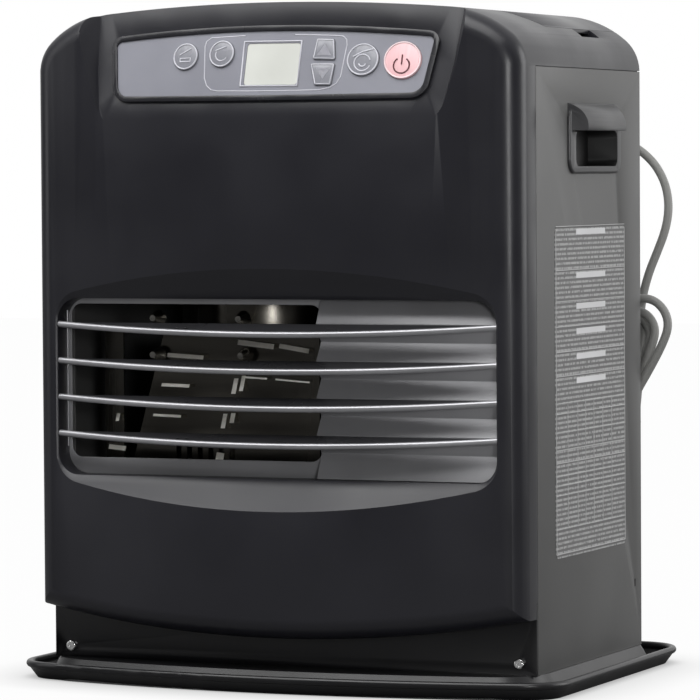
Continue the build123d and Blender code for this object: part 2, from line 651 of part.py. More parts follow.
# Inner wall between the burner and the tank, with a cross wall for the main board
PARTITION_X = 38.0
PARTITION_FRONT = -86.0
PARTITION_TOP = SIDE_TOP - 6.1
CROSS_Y = -40.0
partition_right = PARTITION_X + SHEET
flange_front = rear_front - SHEET
partition = block(PARTITION_X, partition_right, PARTITION_FRONT, flange_front, floor_top, PARTITION_TOP)
partition += block(partition_right, flange_edge - GAP, CROSS_Y, CROSS_Y + SHEET, floor_top, PARTITION_TOP)

# Main board on four spacers in front of the cross wall
BOARD_LEFT = 56.0
BOARD_RIGHT = 142.0
BOARD_BOTTOM = 120.0
BOARD_TOP = 290.0
SPACER = 8.0
board_back = CROSS_Y - SPACER
main_board = block(BOARD_LEFT, BOARD_RIGHT, board_back - BOARD_SHEET, board_back, BOARD_BOTTOM, BOARD_TOP)
for x in (BOARD_LEFT + 6, BOARD_RIGHT - 6):
    for z in (BOARD_BOTTOM + 6, BOARD_TOP - 6):
        main_board += rod((x, board_back, z), "Y", SPACER, 3)
PARTS_ON_BOARD = [
    (62, 96, 24, 226, 270),
    (104, 134, 18, 240, 268),
    (66, 84, 22, 180, 206),
    (98, 132, 12, 150, 200),
    (66, 90, 14, 134, 160),
]
for left, right, height, low, high in PARTS_ON_BOARD:
    main_board += block(left, right, board_back - BOARD_SHEET - height, board_back - BOARD_SHEET, low, high)
save("main_board", main_board)

# Fuel tank: lifts out under the lid, cap down, with a wire bail on top
TANK = (44.0, 142.0, -32.0, 92.0, 62.0, SIDE_TOP - 6.1)
TANK_CORNER = 12.0
TANK_EDGE = 5.0
CAP_RADIUS = 26.0
CAP_HEIGHT = 14.0
VALVE_RADIUS = 3.0
VALVE_TRAVEL = 3.0
BAIL_WIRE = 2.0
BAIL_REACH = 28.0
BAIL_SPAN = 80.0
BAIL_EAR = 4.0
tank_x = (TANK[0] + TANK[1]) / 2
tank_y = (TANK[2] + TANK[3]) / 2
tank_width = TANK[1] - TANK[0]
tank_depth = TANK[3] - TANK[2]
tank_plan = Pos(tank_x, tank_y, TANK[4]) * RectangleRounded(tank_width, tank_depth, TANK_CORNER)
tank = extrude(tank_plan, TANK[5] - TANK[4])
tank = fillet(tank.edges().group_by(Axis.Z)[0] + tank.edges().group_by(Axis.Z)[-1], TANK_EDGE)
core = Pos(tank_x, tank_y, TANK[4] + SHEET) * RectangleRounded(
    tank_width - 2 * SHEET, tank_depth - 2 * SHEET, TANK_CORNER - SHEET
)
core = extrude(core, TANK[5] - TANK[4] - 2 * SHEET)
tank -= fillet(core.edges().group_by(Axis.Z)[0] + core.edges().group_by(Axis.Z)[-1], TANK_EDGE - SHEET)
cap_top = TANK[4] - GAP
tank += rod((tank_x, tank_y, TANK[4] - 8), "Z", 9, CAP_RADIUS - 4, CAP_RADIUS - 6)
bail_z = TANK[5] + 4.5
for y in (tank_y - BAIL_SPAN / 2, tank_y + BAIL_SPAN / 2):
    ear = block(tank_x - 5, tank_x + 5, y - BAIL_EAR / 2, y + BAIL_EAR / 2, TANK[5] - SHEET, bail_z + 4)
    tank += ear - rod((tank_x, y - BAIL_EAR, bail_z), "Y", 2 * BAIL_EAR, BAIL_WIRE + 0.2)
save("fuel_tank", tank)
cap = rod((tank_x, tank_y, cap_top - CAP_HEIGHT), "Z", CAP_HEIGHT, CAP_RADIUS)
cap -= rod((tank_x, tank_y, cap_top - CAP_HEIGHT + 3), "Z", CAP_HEIGHT, CAP_RADIUS - 4 + GAP)
for number in range(24):
    turned = Pos(tank_x, tank_y, cap_top - CAP_HEIGHT) * Rot(0, 0, number * 15)
    cap -= turned * Pos(CAP_RADIUS + 0.4, 0, 7) * Cylinder(1.2, 20)
valve_bottom = cap_top - CAP_HEIGHT - 6
cap -= rod((tank_x, tank_y, valve_bottom), "Z", 20, VALVE_RADIUS + GAP / 2)
save("tank_cap", cap)
valve = rod((tank_x, tank_y, valve_bottom), "Z", 16, VALVE_RADIUS)
valve += rod((tank_x, tank_y, cap_top - CAP_HEIGHT + 3 + GAP), "Z", 1.5, VALVE_RADIUS + 3)
save("valve_pin", valve)
bail_end = BAIL_SPAN / 2 - BAIL_EAR / 2
bail_side = BAIL_SPAN / 2 + 2 * BAIL_EAR
bail_points = [
    (tank_x, tank_y - bail_end, bail_z),
    (tank_x, tank_y - bail_side, bail_z),
    (tank_x - BAIL_REACH, tank_y - bail_side, bail_z),
    (tank_x - BAIL_REACH, tank_y + bail_side, bail_z),
    (tank_x, tank_y + bail_side, bail_z),
    (tank_x, tank_y + bail_end, bail_z),
]
bail_path = FilletPolyline(*bail_points, radius=3.5)
save("tank_bail", sweep((bail_path ^ 0) * Circle(BAIL_WIRE), path=bail_path))

# Sump under the tank, the pump beside it and the burner's fuel pipe
SUMP = (50.0, 136.0, -12.0, 72.0)
SUMP_TOP = TANK[4] - GAP
PUMP = (70.0, -62.0)
PUMP_RADIUS = 14.0
PUMP_TOP = 60.0
PIPE = 2.5
PIPE_Z = 85.0
PIPE_Y = -80.0
INLET_Z = 28.0
sump = block(SUMP[0], SUMP[1], SUMP[2], SUMP[3], floor_top, SUMP_TOP)
sump = fillet(sump.edges().filter_by(Axis.Z), 8)
sump -= fillet(
    block(SUMP[0] + WALL, SUMP[1] - WALL, SUMP[2] + WALL, SUMP[3] - WALL, floor_top + WALL, SUMP_TOP - WALL)
    .edges()
    .filter_by(Axis.Z),
    8 - WALL,
)
sump -= rod((tank_x, tank_y, SUMP_TOP - 2 * WALL), "Z", 20, CAP_RADIUS + 3)
sump += rod((tank_x, tank_y, floor_top), "Z", valve_bottom - GAP - floor_top, 4)
save("fuel_sump", sump)
pump = rod((PUMP[0], PUMP[1], floor_top), "Z", PUMP_TOP - floor_top, PUMP_RADIUS)
pump = fillet(pump.edges(), 1.5)
pump += rod((PUMP[0], PUMP[1], PUMP_TOP), "Z", 6, 5)
save("fuel_pump", pump)
POT = (-50.0, -15.0)
POT_RADIUS = 45.0
POT_BOTTOM = 60.0
POT_TOP = 112.0
pipe_path = FilletPolyline(
    (PUMP[0], PUMP[1], PUMP_TOP + 6),
    (PUMP[0], PUMP[1], PIPE_Z),
    (PUMP[0] - 10, PIPE_Y, PIPE_Z),
    (POT[0], PIPE_Y, PIPE_Z),
    (POT[0], POT[1] - POT_RADIUS, PIPE_Z),
    radius=6,
)
pipe = sweep((pipe_path ^ 0) * Circle(PIPE), path=pipe_path)
inlet = rod((PUMP[0], PUMP[1] + PUMP_RADIUS, INLET_Z), "Y", SUMP[2] - PUMP[1] - PUMP_RADIUS, PIPE)
save("fuel_pipe", Compound(children=[pipe, inlet]))
partition -= rod((PARTITION_X - 1, PIPE_Y, PIPE_Z), "X", 4, PIPE + 1)
partition -= rod((PUMP[0], CROSS_Y - 1, INLET_Z), "Y", 4, PIPE + 1)
save("partition_plate", partition)

# Burner: pot on a pedestal, burner head, combustion chamber and the shield behind the outlet
HEAD_RADIUS = 38.0
PEDESTAL_RADIUS = 30.0
CHAMBER_RADIUS = 44.0
CHAMBER_TOP = 300.0


def pot_rod(z, length, radius, bore=0):
    """A disc, bar or tube on the burner's centre line."""
    return rod((POT[0], POT[1], z), "Z", length, radius, bore)


pot = pot_rod(POT_BOTTOM, POT_TOP - POT_BOTTOM, POT_RADIUS, POT_RADIUS - WALL)
pot += pot_rod(POT_BOTTOM, WALL, POT_RADIUS)
pot += pot_rod(floor_top, POT_BOTTOM - floor_top, PEDESTAL_RADIUS, PEDESTAL_RADIUS - 3)
rod_plane = Plane((POT[0], POT[1], 98.0), z_dir=(-1, -1, 0))
sensor_plane = Plane((POT[0], POT[1], 98.0), z_dir=(-1, 1, 0))
pot -= extrude(rod_plane * Circle(3.1), 60)
pot -= extrude(sensor_plane * Circle(2.1), 60)
save("burner_pot", pot)
igniter = extrude(rod_plane.offset(28) * Circle(3), 34)
igniter += extrude(rod_plane.offset(POT_RADIUS + GAP) * Circle(6), 8)
save("igniter", igniter)
sensor = extrude(sensor_plane.offset(28) * Circle(2), 34)
sensor += extrude(sensor_plane.offset(POT_RADIUS + GAP) * Circle(5), 8)
save("flame_sensor", sensor)
head = pot_rod(POT_TOP - 6, 6, POT_RADIUS - WALL - GAP) + pot_rod(POT_TOP, 26, HEAD_RADIUS)
head -= pot_rod(POT_TOP - 6, 30, HEAD_RADIUS - 3)
for number in range(9):
    head -= Pos(POT[0], POT[1], POT_TOP + 14) * Rot(0, 0, number * 20) * Rot(0, 90, 0) * Cylinder(2, 100)
save("burner_head", head)
chamber = pot_rod(POT_TOP, CHAMBER_TOP - POT_TOP, CHAMBER_RADIUS, CHAMBER_RADIUS - SHEET)
chamber += pot_rod(CHAMBER_TOP - SHEET, SHEET, CHAMBER_RADIUS)
for number in range(4):
    slot = Pos(POT[0], POT[1], CHAMBER_TOP - 20) * Rot(0, 0, 22.5 + number * 45) * Box(120, 12, 16)
    chamber -= slot
save("combustion_chamber", chamber)
SHIELD_Y = -70.0
SHIELD_TOP = 225.0
SHIELD_BOTTOM = 118.0
SHIELD_LEFT = -124.0
SHIELD_SLANT = -95.0
SHIELD_RIGHT = 12.0
SHIELD_FOOT = 18.0
STRIP_LEFT = -138.0
SLOT_LEFT = -88.0
SLOT_PITCH = 7.5
SLOT_SIZE = (3.5, 16.0)
shield_front = SHIELD_Y - SHEET
shield_points = [
    (SHIELD_RIGHT, SHIELD_BOTTOM),
    (SHIELD_RIGHT, SHIELD_TOP),
    (SHIELD_SLANT, SHIELD_TOP),
    (SHIELD_LEFT, SHIELD_BOTTOM),
]
shield_plane = Plane((0, SHIELD_Y, 0), x_dir=(1, 0, 0), z_dir=(0, -1, 0))
shield = extrude(shield_plane * make_face(Polyline(shield_points, close=True)), SHEET)
slot_bottom = SHIELD_BOTTOM + 22
for number in range(6):
    left = SLOT_LEFT + number * SLOT_PITCH
    shield -= block(
        left, left + SLOT_SIZE[0], SHIELD_Y - 2, SHIELD_Y + 1, slot_bottom, slot_bottom + SLOT_SIZE[1]
    )
shield += block(SHIELD_RIGHT - SHEET, SHIELD_RIGHT, shield_front, POT[1], SHIELD_BOTTOM, SHIELD_TOP)
for left in (SHIELD_LEFT, SHIELD_RIGHT - SHIELD_FOOT):
    shield += block(left, left + SHIELD_FOOT, shield_front, SHIELD_Y, floor_top, SHIELD_BOTTOM)
shield += block(STRIP_LEFT, SHIELD_LEFT - 1, shield_front, SHIELD_Y, floor_top, SHIELD_TOP)
save("heat_shield", shield)

# Burner blower: housing, wheel and motor
BLOWER = (-110.0, 45.0)
BLOWER_RADIUS = 34.0
BLOWER_TOP = 50.0
WHEEL_RADIUS = 27.0
WHEEL_HEIGHT = 22.0


def blower_rod(z, length, radius, bore=0):
    """A disc, bar or tube on the blower's centre line."""
    return rod((BLOWER[0], BLOWER[1], z), "Z", length, radius, bore)


to_pot = Vector(POT[0] - BLOWER[0], POT[1] - BLOWER[1], 0)
duct = Plane((BLOWER[0], BLOWER[1], 32.0), x_dir=(0, 0, 1), z_dir=to_pot)
duct_length = to_pot.length - PEDESTAL_RADIUS - GAP
housing = blower_rod(floor_top, BLOWER_TOP - floor_top, BLOWER_RADIUS)
housing += extrude(duct * Rectangle(26, 26), duct_length)
housing -= blower_rod(floor_top + 2, BLOWER_TOP - floor_top - 4, BLOWER_RADIUS - 2)
housing -= extrude(duct * Rectangle(22, 22), duct_length + 1)
housing -= blower_rod(BLOWER_TOP - 5, 10, 12)
save("blower_housing", housing)
wheel_bottom = floor_top + 5
wheel = blower_rod(wheel_bottom, 1.5, WHEEL_RADIUS) + blower_rod(wheel_bottom, WHEEL_HEIGHT, 6)
wheel += blower_rod(wheel_bottom + WHEEL_HEIGHT - 1.5, 1.5, WHEEL_RADIUS, WHEEL_RADIUS - 6)
for number in range(20):
    vane = Pos(BLOWER[0], BLOWER[1], wheel_bottom + WHEEL_HEIGHT / 2) * Rot(0, 0, number * 18)
    wheel += vane * Pos(WHEEL_RADIUS - 3.5, 0, 0) * Rot(0, 0, 25) * Box(5, 1, WHEEL_HEIGHT)
wheel -= blower_rod(wheel_bottom + 3, WHEEL_HEIGHT, 1.65)
save("blower_wheel", wheel)
blower_motor = blower_rod(BLOWER_TOP, 26, 19)
blower_motor += blower_rod(wheel_bottom + 5, BLOWER_TOP - wheel_bottom, 1.5)
save("blower_motor", blower_motor)

# Mains lead: a strain relief, a free bow at the back, a tied hank, a tail and a flat plug
CORD = 5.6
GLAND_LENGTH = 20.0
WAIST = (145.0, 154.0)
WAIST_TILT = 10.0
WAIST_HALF = 3.4
WAIST_RADIUS = 60.0
LAYER_FIRST = 134.4
LAYER_STEP = -6.4
STRAIGHT_END = 8.5
UPPER_LOOPS = [(141.5, 216.0, 15.0), (147.7, 213.0, 15.0), (154.2, 216.0, 14.0), (161.8, 221.0, 17.5)]
LOWER_LOOPS = [(132.5, 106.0, 16.5), (131.7, 105.0, 16.5), (130.9, 104.0, 16.5), (130.1, 103.0, 16.5)]
gland_end = CASE_BACK + GLAND_LENGTH
BOW_POINTS = [
    (CORD_EXIT[0], gland_end, CORD_EXIT[1]),
    (112.0, 131.0, 350.0),
    (114.6, 142.0, 349.3),
    (120.6, 151.4, 347.4),
    (129.4, 157.8, 344.0),
    (139.2, 160.6, 338.8),
    (148.9, 160.2, 332.2),
    (157.6, 157.8, 323.6),
    (164.4, 155.2, 311.6),
    (167.5, 151.8, 297.5),
    (166.4, 148.0, 283.0),
    (161.8, 144.4, 268.6),
    (156.6, 142.3, 255.0),
    (152.8, 141.4, 241.0),
    (150.6, 141.2, 226.5),
    (149.9, 141.1, 211.5),
    (150.5, 140.4, 196.5),
    (151.0, 137.0, 183.0),
]
tilt = radians(WAIST_TILT)
down = Vector(-sin(tilt), 0, -cos(tilt))
across = Vector(cos(tilt), 0, -sin(tilt))
waist = Vector(WAIST[0], 0, WAIST[1])
waist_right = waist + across * WAIST_HALF
hank_start = waist_right - down * STRAIGHT_END + Vector(0, LAYER_FIRST, 0)
hank_end = waist_right + down * STRAIGHT_END + Vector(0, LAYER_FIRST + len(UPPER_LOOPS) * LAYER_STEP, 0)
BOW_POINTS.append(tuple(hank_start - down * STRAIGHT_END))
BOW_POINTS.append(tuple(hank_start))


def corner_radii(points, share=0.45):
    """The largest arc at each corner that both of its runs leave room for."""
    radii = []
    for before, corner, after in zip(points, points[1:], points[2:]):
        arriving = Vector(*corner) - Vector(*before)
        leaving = Vector(*after) - Vector(*corner)
        turn = radians(arriving.get_angle(leaving))
        radii.append(share * min(arriving.length, leaving.length) / tan(turn / 2))
    return radii


def cord_tube(name, points):
    """A stretch of the lead along its points, with its radii, length and volume printed."""
    radii = corner_radii(points)
    path = FilletPolyline(*points, radius=radii)
    tube = sweep((path ^ 0) * Circle(CORD / 2), path=path)
    expected = pi * CORD**2 / 4 * path.length
    print(name, "radii", [round(radius) for radius in radii], "length", round(path.length, 1))
    print(name, "volume", round(tube.volume), "section times length", round(expected), tube.is_valid)
    save(name, tube)
    return path.length


# Gland pressed into the rear sheet, tapered to the lead
gland = rod((CORD_EXIT[0], rear_front - 2, CORD_EXIT[1]), "Y", 2 + SHEET, CORD_HOLE - GAP)
gland += rod((CORD_EXIT[0], rear_front - 3.5, CORD_EXIT[1]), "Y", 3.5 - GAP, CORD_HOLE + 2)
taper = Plane((CORD_EXIT[0], CASE_BACK, CORD_EXIT[1]), z_dir=(0, 1, 0))
gland += loft([taper * Circle(CORD_HOLE + 2), taper.offset(GLAND_LENGTH) * Circle(CORD / 2 + 1.2)])
save("cord_gland", gland)
lead_length = cord_tube("cord_run", BOW_POINTS)


def left_of(angle):
    """The direction to the left of a heading, in the hank's plane."""
    return Vector(-sin(angle), 0, cos(angle))


def ahead_of(angle):
    """A heading in the hank's plane."""
    return Vector(cos(angle), 0, sin(angle))


class HankPath:
    """One unbroken line wound round circles that turn it by turns left and right."""

    def __init__(self, start, heading):
        self.edges = [Line(start, start + ahead_of(heading) * STRAIGHT_END)]
        self.heading = heading
        self.depth = start.Y

    def point(self, circle, heading):
        """The place on a circle where the line runs along a heading."""
        x, z, radius, side = circle
        return Vector(x, self.depth, z) - left_of(heading) * (side * radius)

    def turn(self, circle, heading):
        """Follow a circle to a new heading, as two equal arcs."""
        side = circle[3]
        sweep_angle = side * ((side * (heading - self.heading)) % (2 * pi))
        for _ in range(2):
            begin = self.heading
            end = begin + sweep_angle / 2
            stops = [self.point(circle, angle) for angle in (begin, (begin + end) / 2, end)]
            self.edges.append(ThreePointArc(*stops))
            self.heading = end

    def leave(self, circle, target, climb=0):
        """Follow a circle, then cross straight to the next one, with or without a climb."""
        between = Vector(target[0] - circle[0], 0, target[1] - circle[1])
        bearing = atan2(between.Z, between.X)
        heading = bearing + asin(circle[3] * (circle[2] + target[2]) / between.length)
        self.turn(circle, heading)
        begin = self.point(circle, self.heading)
        self.depth += climb
        end = self.point(target, self.heading)
        if climb:
            middle = (begin + end) * 0.5
            self.edges.append(TangentArc(begin, middle, tangent=ahead_of(self.heading)))
            self.edges.append(TangentArc(middle, end, tangent=self.edges[-1] % 1))
        else:
            self.edges.append(Line(begin, end))


right_middle = waist_right + across * WAIST_RADIUS
left_middle = waist - across * (WAIST_HALF + WAIST_RADIUS)
right_circle = (right_middle.X, right_middle.Z, WAIST_RADIUS, 1)
left_circle = (left_middle.X, left_middle.Z, WAIST_RADIUS, 1)
start_heading = atan2(down.Z, down.X)
hank = HankPath(hank_start, start_heading)
for upper, lower in zip(UPPER_LOOPS, LOWER_LOOPS):
    hank.leave(right_circle, lower + (-1,))
    hank.leave(lower + (-1,), left_circle)
    hank.leave(left_circle, upper + (-1,))
    hank.leave(upper + (-1,), right_circle, LAYER_STEP)
hank.turn(right_circle, start_heading)
hank.edges.append(Line(hank.edges[-1] @ 1, hank_end))
hank_wire = Wire(hank.edges)
hank_solid = sweep((hank_wire ^ 0) * Circle(CORD / 2), path=hank_wire)
save("cord_hank", hank_solid)
lead_length += hank_wire.length
expected = pi * CORD**2 / 4 * hank_wire.length
print("hank length", round(hank_wire.length, 1), "solids", len(hank_solid.solids()), hank_solid.is_valid)
print("hank volume", round(hank_solid.volume), "section times length", round(expected))
samples = []
for edge in hank.edges:
    count = ceil(edge.length / 2.5)
    samples += [edge @ (number / count) for number in range(count)]
apart = 14
least = min(
    (samples[i] - samples[j]).length
    for i in range(len(samples))
    for j in range(i + apart, len(samples))
)
print("hank least gap to itself", round(least - CORD, 2))

# Tail and flat plug, which hang behind the rear sheet
PLUG_X = 142.6
PLUG_TOP = 78.0
BOOT = 18.0
PLUG_BODY = (35.0, 13.6, 34.0)
PLUG_PIN = 2.0
PIN_LENGTH = 19.0
PIN_SPACING = 18.6
TAIL_POINTS = [
    tuple(hank_end),
    tuple(hank_end + down * STRAIGHT_END),
    (144.0, hank_end.Y, 122.5),
    (142.9, hank_end.Y, 108.0),
    (PLUG_X, hank_end.Y, 93.0),
    (PLUG_X, hank_end.Y, PLUG_TOP),
]
lead_length += cord_tube("cord_tail", TAIL_POINTS)
print("lead length", round(lead_length))
boot_plane = Plane((PLUG_X, hank_end.Y, PLUG_TOP), x_dir=(1, 0, 0), z_dir=(0, 0, -1))
plug = loft([boot_plane * Circle(CORD / 2 + 1), boot_plane.offset(BOOT) * Circle(6)])
body_face = boot_plane.offset(BOOT) * RectangleRounded(PLUG_BODY[0], PLUG_BODY[1], 5)
body = extrude(body_face, PLUG_BODY[2])
plug += fillet(body.faces().sort_by(Axis.Z)[-1].edges(), 4)
plug_face = boot_plane.offset(BOOT + PLUG_BODY[2])
for side in (-1, 1):
    pin = extrude(plug_face * Pos(side * PIN_SPACING / 2, 0) * Circle(PLUG_PIN), PIN_LENGTH)
    plug += fillet(pin.faces().sort_by(Axis.Z)[0].edges(), PLUG_PIN * 0.7)
save("power_plug", plug)

# Tie round the hank's waist
TIE_HEIGHT = 8.0
TIE_WALL = 1.0
tie_width = 2 * WAIST_HALF + CORD + 2 * GAP
tie_depth = len(UPPER_LOOPS) * abs(LAYER_STEP) + CORD + 2 * GAP
tie_y = LAYER_FIRST + len(UPPER_LOOPS) * LAYER_STEP / 2
tie_plane = Plane((WAIST[0], tie_y, WAIST[1]), x_dir=tuple(across), z_dir=tuple(down * -1))
tie_plane = tie_plane.offset(-TIE_HEIGHT / 2)
band = RectangleRounded(tie_width + 2 * TIE_WALL, tie_depth + 2 * TIE_WALL, CORD / 2 + TIE_WALL)
band -= RectangleRounded(tie_width, tie_depth, CORD / 2)
save("cord_tie", extrude(tie_plane * band, TIE_HEIGHT))
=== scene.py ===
import json
from math import cos, radians, sin

import bmesh
import bpy
from mathutils import Matrix, Vector

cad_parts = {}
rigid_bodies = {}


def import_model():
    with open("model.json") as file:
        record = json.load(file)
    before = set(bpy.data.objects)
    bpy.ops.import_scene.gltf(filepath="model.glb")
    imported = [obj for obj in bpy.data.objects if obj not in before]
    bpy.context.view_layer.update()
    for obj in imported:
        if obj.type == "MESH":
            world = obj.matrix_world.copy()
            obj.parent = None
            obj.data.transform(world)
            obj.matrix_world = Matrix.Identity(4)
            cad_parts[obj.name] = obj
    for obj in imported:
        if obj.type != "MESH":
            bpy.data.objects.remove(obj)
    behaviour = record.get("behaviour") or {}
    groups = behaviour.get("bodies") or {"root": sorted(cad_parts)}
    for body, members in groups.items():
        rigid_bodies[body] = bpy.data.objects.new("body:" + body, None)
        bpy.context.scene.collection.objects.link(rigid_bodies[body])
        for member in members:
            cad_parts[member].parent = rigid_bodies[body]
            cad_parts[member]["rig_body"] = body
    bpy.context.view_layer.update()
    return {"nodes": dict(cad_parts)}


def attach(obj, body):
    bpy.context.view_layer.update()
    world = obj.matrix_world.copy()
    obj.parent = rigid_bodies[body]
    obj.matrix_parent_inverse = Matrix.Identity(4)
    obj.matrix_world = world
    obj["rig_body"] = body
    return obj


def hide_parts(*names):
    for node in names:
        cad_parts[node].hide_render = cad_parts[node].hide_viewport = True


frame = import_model()
nodes = frame["nodes"]
MM = 0.001


# The camera stands to the right of the heater and a little above its middle, far off with a long
# lens, so that the front and the right side show nearly square to each other.
CAMERA_PLACE = Vector((1.10104, -2.56023, 0.32328))
CAMERA_YAW = 23.224
CAMERA_PITCH = 2.376
CAMERA_ROLL = -0.362
camera_data = bpy.data.cameras.new("camera")
camera_data.lens = 222.46
camera_data.sensor_width = 36.0
camera_data.clip_end = 50.0
camera = bpy.data.objects.new("camera", camera_data)
bpy.context.scene.collection.objects.link(camera)
turn = Matrix.Rotation(radians(CAMERA_YAW), 4, "Z")
turn @= Matrix.Rotation(radians(90 - CAMERA_PITCH), 4, "X")
turn @= Matrix.Rotation(radians(CAMERA_ROLL), 4, "Z")
camera.matrix_world = Matrix.Translation(CAMERA_PLACE) @ turn
bpy.context.scene.camera = camera


# The mains lead is one soft grey round cable. It leaves the gland behind the heater, bows out past
# the right side, is folded into a tied hank of four loops, and ends in a flat plug.
def new_material(name, colour, rough, metal=0.0, coat=0.0):
    """A material whose plain values stand on its shader."""
    material = bpy.data.materials.new(name)
    material.use_nodes = True
    shader = material.node_tree.nodes["Principled BSDF"]
    shader.inputs["Base Color"].default_value = (*colour, 1)
    shader.inputs["Roughness"].default_value = rough
    shader.inputs["Metallic"].default_value = metal
    shader.inputs["Coat Weight"].default_value = coat
    return material


def object_noise(material, scale, detail=3.0, stretch=(1, 1, 1)):
    """A noise on the piece's own coordinates, stretched along its axes."""
    tree = material.node_tree
    place = tree.nodes.new("ShaderNodeTexCoord")
    mapping = tree.nodes.new("ShaderNodeMapping")
    mapping.inputs["Scale"].default_value = stretch
    noise = tree.nodes.new("ShaderNodeTexNoise")
    noise.inputs["Scale"].default_value = scale
    noise.inputs["Detail"].default_value = detail
    tree.links.new(place.outputs["Object"], mapping.inputs["Vector"])
    tree.links.new(mapping.outputs["Vector"], noise.inputs["Vector"])
    return noise.outputs["Fac"]


def vary_roughness(material, value, low, high):
    """The roughness wanders between two values."""
    tree = material.node_tree
    spread = tree.nodes.new("ShaderNodeMapRange")
    spread.inputs["From Min"].default_value = 0.3
    spread.inputs["From Max"].default_value = 0.7
    spread.inputs["To Min"].default_value = low
    spread.inputs["To Max"].default_value = high
    tree.links.new(value, spread.inputs["Value"])
    tree.links.new(spread.outputs["Result"], tree.nodes["Principled BSDF"].inputs["Roughness"])


def vary_colour(material, value, dark, light):
    """The colour wanders between two tones."""
    tree = material.node_tree
    ramp = tree.nodes.new("ShaderNodeValToRGB")
    ramp.color_ramp.elements[0].position = 0.3
    ramp.color_ramp.elements[0].color = (*dark, 1)
    ramp.color_ramp.elements[1].position = 0.7
    ramp.color_ramp.elements[1].color = (*light, 1)
    tree.links.new(value, ramp.inputs["Fac"])
    tree.links.new(ramp.outputs["Color"], tree.nodes["Principled BSDF"].inputs["Base Color"])


def raise_grain(material, value, strength, distance=0.0002):
    """A fine surface grain."""
    tree = material.node_tree
    bump = tree.nodes.new("ShaderNodeBump")
    bump.inputs["Strength"].default_value = strength
    bump.inputs["Distance"].default_value = distance
    tree.links.new(value, bump.inputs["Height"])
    tree.links.new(bump.outputs["Normal"], tree.nodes["Principled BSDF"].inputs["Normal"])


def grained(
    name, colour, rough, grain, strength, metal=0.0, coat=0.0, spread=0.06, stretch=(1, 1, 1)
):
    """A surface with a fine grain, a wandering gloss and a slight change of tone."""
    material = new_material(name, colour, rough, metal, coat)
    broad = object_noise(material, 14, 4, stretch)
    vary_roughness(material, broad, rough - spread, rough + spread)
    dark = [value * 0.9 for value in colour]
    light = [min(1, value * 1.1) for value in colour]
    vary_colour(material, broad, dark, light)
    raise_grain(material, object_noise(material, grain, 2, stretch), strength)
    return material


def dress(material, *names):
    """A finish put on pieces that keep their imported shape."""
    for name in names:
        data = nodes[name].data
        data.materials.clear()
        data.materials.append(material)


CORD = 5.6
CORD_EXIT = (112.0, 121.0, 350.0)
BOW_POINTS = [
    CORD_EXIT,
    (112.0, 131.0, 350.0),
    (114.6, 142.0, 349.3),
    (120.6, 151.4, 347.4),
    (129.4, 157.8, 344.0),
    (139.2, 160.6, 338.8),
    (148.9, 160.2, 332.2),
    (157.6, 157.8, 323.6),
    (164.4, 155.2, 311.6),
    (167.5, 151.8, 297.5),
    (166.4, 148.0, 283.0),
    (161.8, 144.4, 268.6),
    (156.6, 142.3, 255.0),
    (152.8, 141.4, 241.0),
    (150.6, 141.2, 226.5),
    (149.9, 141.1, 211.5),
    (150.5, 140.4, 196.5),
    (151.0, 137.0, 183.0),
]
WAIST = Vector((145.0, 0.0, 154.0))
WAIST_TILT = 10.0
WAIST_HALF = 3.4
WAIST_REACH = 8.5
LAYER_FIRST = 134.4
LAYER_STEP = -6.4
UPPER_LOOPS = [
    (141.5, 216.0, 15.0),
    (147.7, 213.0, 15.0),
    (154.2, 216.0, 14.0),
    (161.8, 221.0, 17.5),
]
LOWER_LOOPS = [
    (132.5, 106.0, 16.5),
    (131.7, 105.0, 16.5),
    (130.9, 104.0, 16.5),
    (130.1, 103.0, 16.5),
]
LOOP_STEP = 50.0
LOOP_POINTS = 6
LOWER_START = 18.0
UPPER_START = 215.0
down = Vector((-sin(radians(WAIST_TILT)), 0, -cos(radians(WAIST_TILT))))
across = Vector((cos(radians(WAIST_TILT)), 0, -sin(radians(WAIST_TILT))))


def waist_pass(side, heading, depth):
    """Two points where a strand runs straight through the tie."""
    middle = WAIST + across * (side * WAIST_HALF) + Vector((0, depth, 0))
    return [middle - heading * WAIST_REACH, middle + heading * WAIST_REACH]


def loop_points(loop, depth, first_angle, climb=0.0):
    """Points outside a round loop, clockwise, which the smooth line passes inside."""
    x, z, radius = loop
    reach = radius / cos(radians(LOOP_STEP / 2))
    points = []
    for number in range(LOOP_POINTS):
        angle = radians(first_angle - number * LOOP_STEP)
        rise = climb * max(0, number - 3) / 3
        points.append(Vector((x + reach * cos(angle), depth + rise, z + reach * sin(angle))))
    return points


lead_points = [Vector(point) for point in BOW_POINTS]
depth = LAYER_FIRST
for upper, lower in zip(UPPER_LOOPS, LOWER_LOOPS):
    lead_points += waist_pass(1, down, depth)
    lead_points += loop_points(lower, depth, LOWER_START)
    lead_points += waist_pass(-1, -down, depth)
    lead_points += loop_points(upper, depth, UPPER_START, LAYER_STEP / 2)
    depth += LAYER_STEP
PLUG_TOP = 78.0
PLUG_X = 142.6
lead_points += waist_pass(1, down, depth)
lead_points += [
    Vector((144.0, depth, 122.5)),
    Vector((142.9, depth, 108.0)),
    Vector((PLUG_X, depth, 93.0)),
    Vector((PLUG_X, depth, PLUG_TOP)),
]
lead_curve = bpy.data.curves.new("mains_lead", "CURVE")
lead_curve.dimensions = "3D"
lead_curve.bevel_depth = CORD / 2 * MM
lead_curve.bevel_resolution = 5
lead_curve.resolution_u = 8
lead_curve.use_fill_caps = True
spline = lead_curve.splines.new("NURBS")
spline.points.add(len(lead_points) - 1)
for point, place in zip(spline.points, lead_points):
    point.co = (*(place * MM), 1)
spline.order_u = 3
spline.use_endpoint_u = True
mains_lead = bpy.data.objects.new("mains_lead", lead_curve)
bpy.context.scene.collection.objects.link(mains_lead)
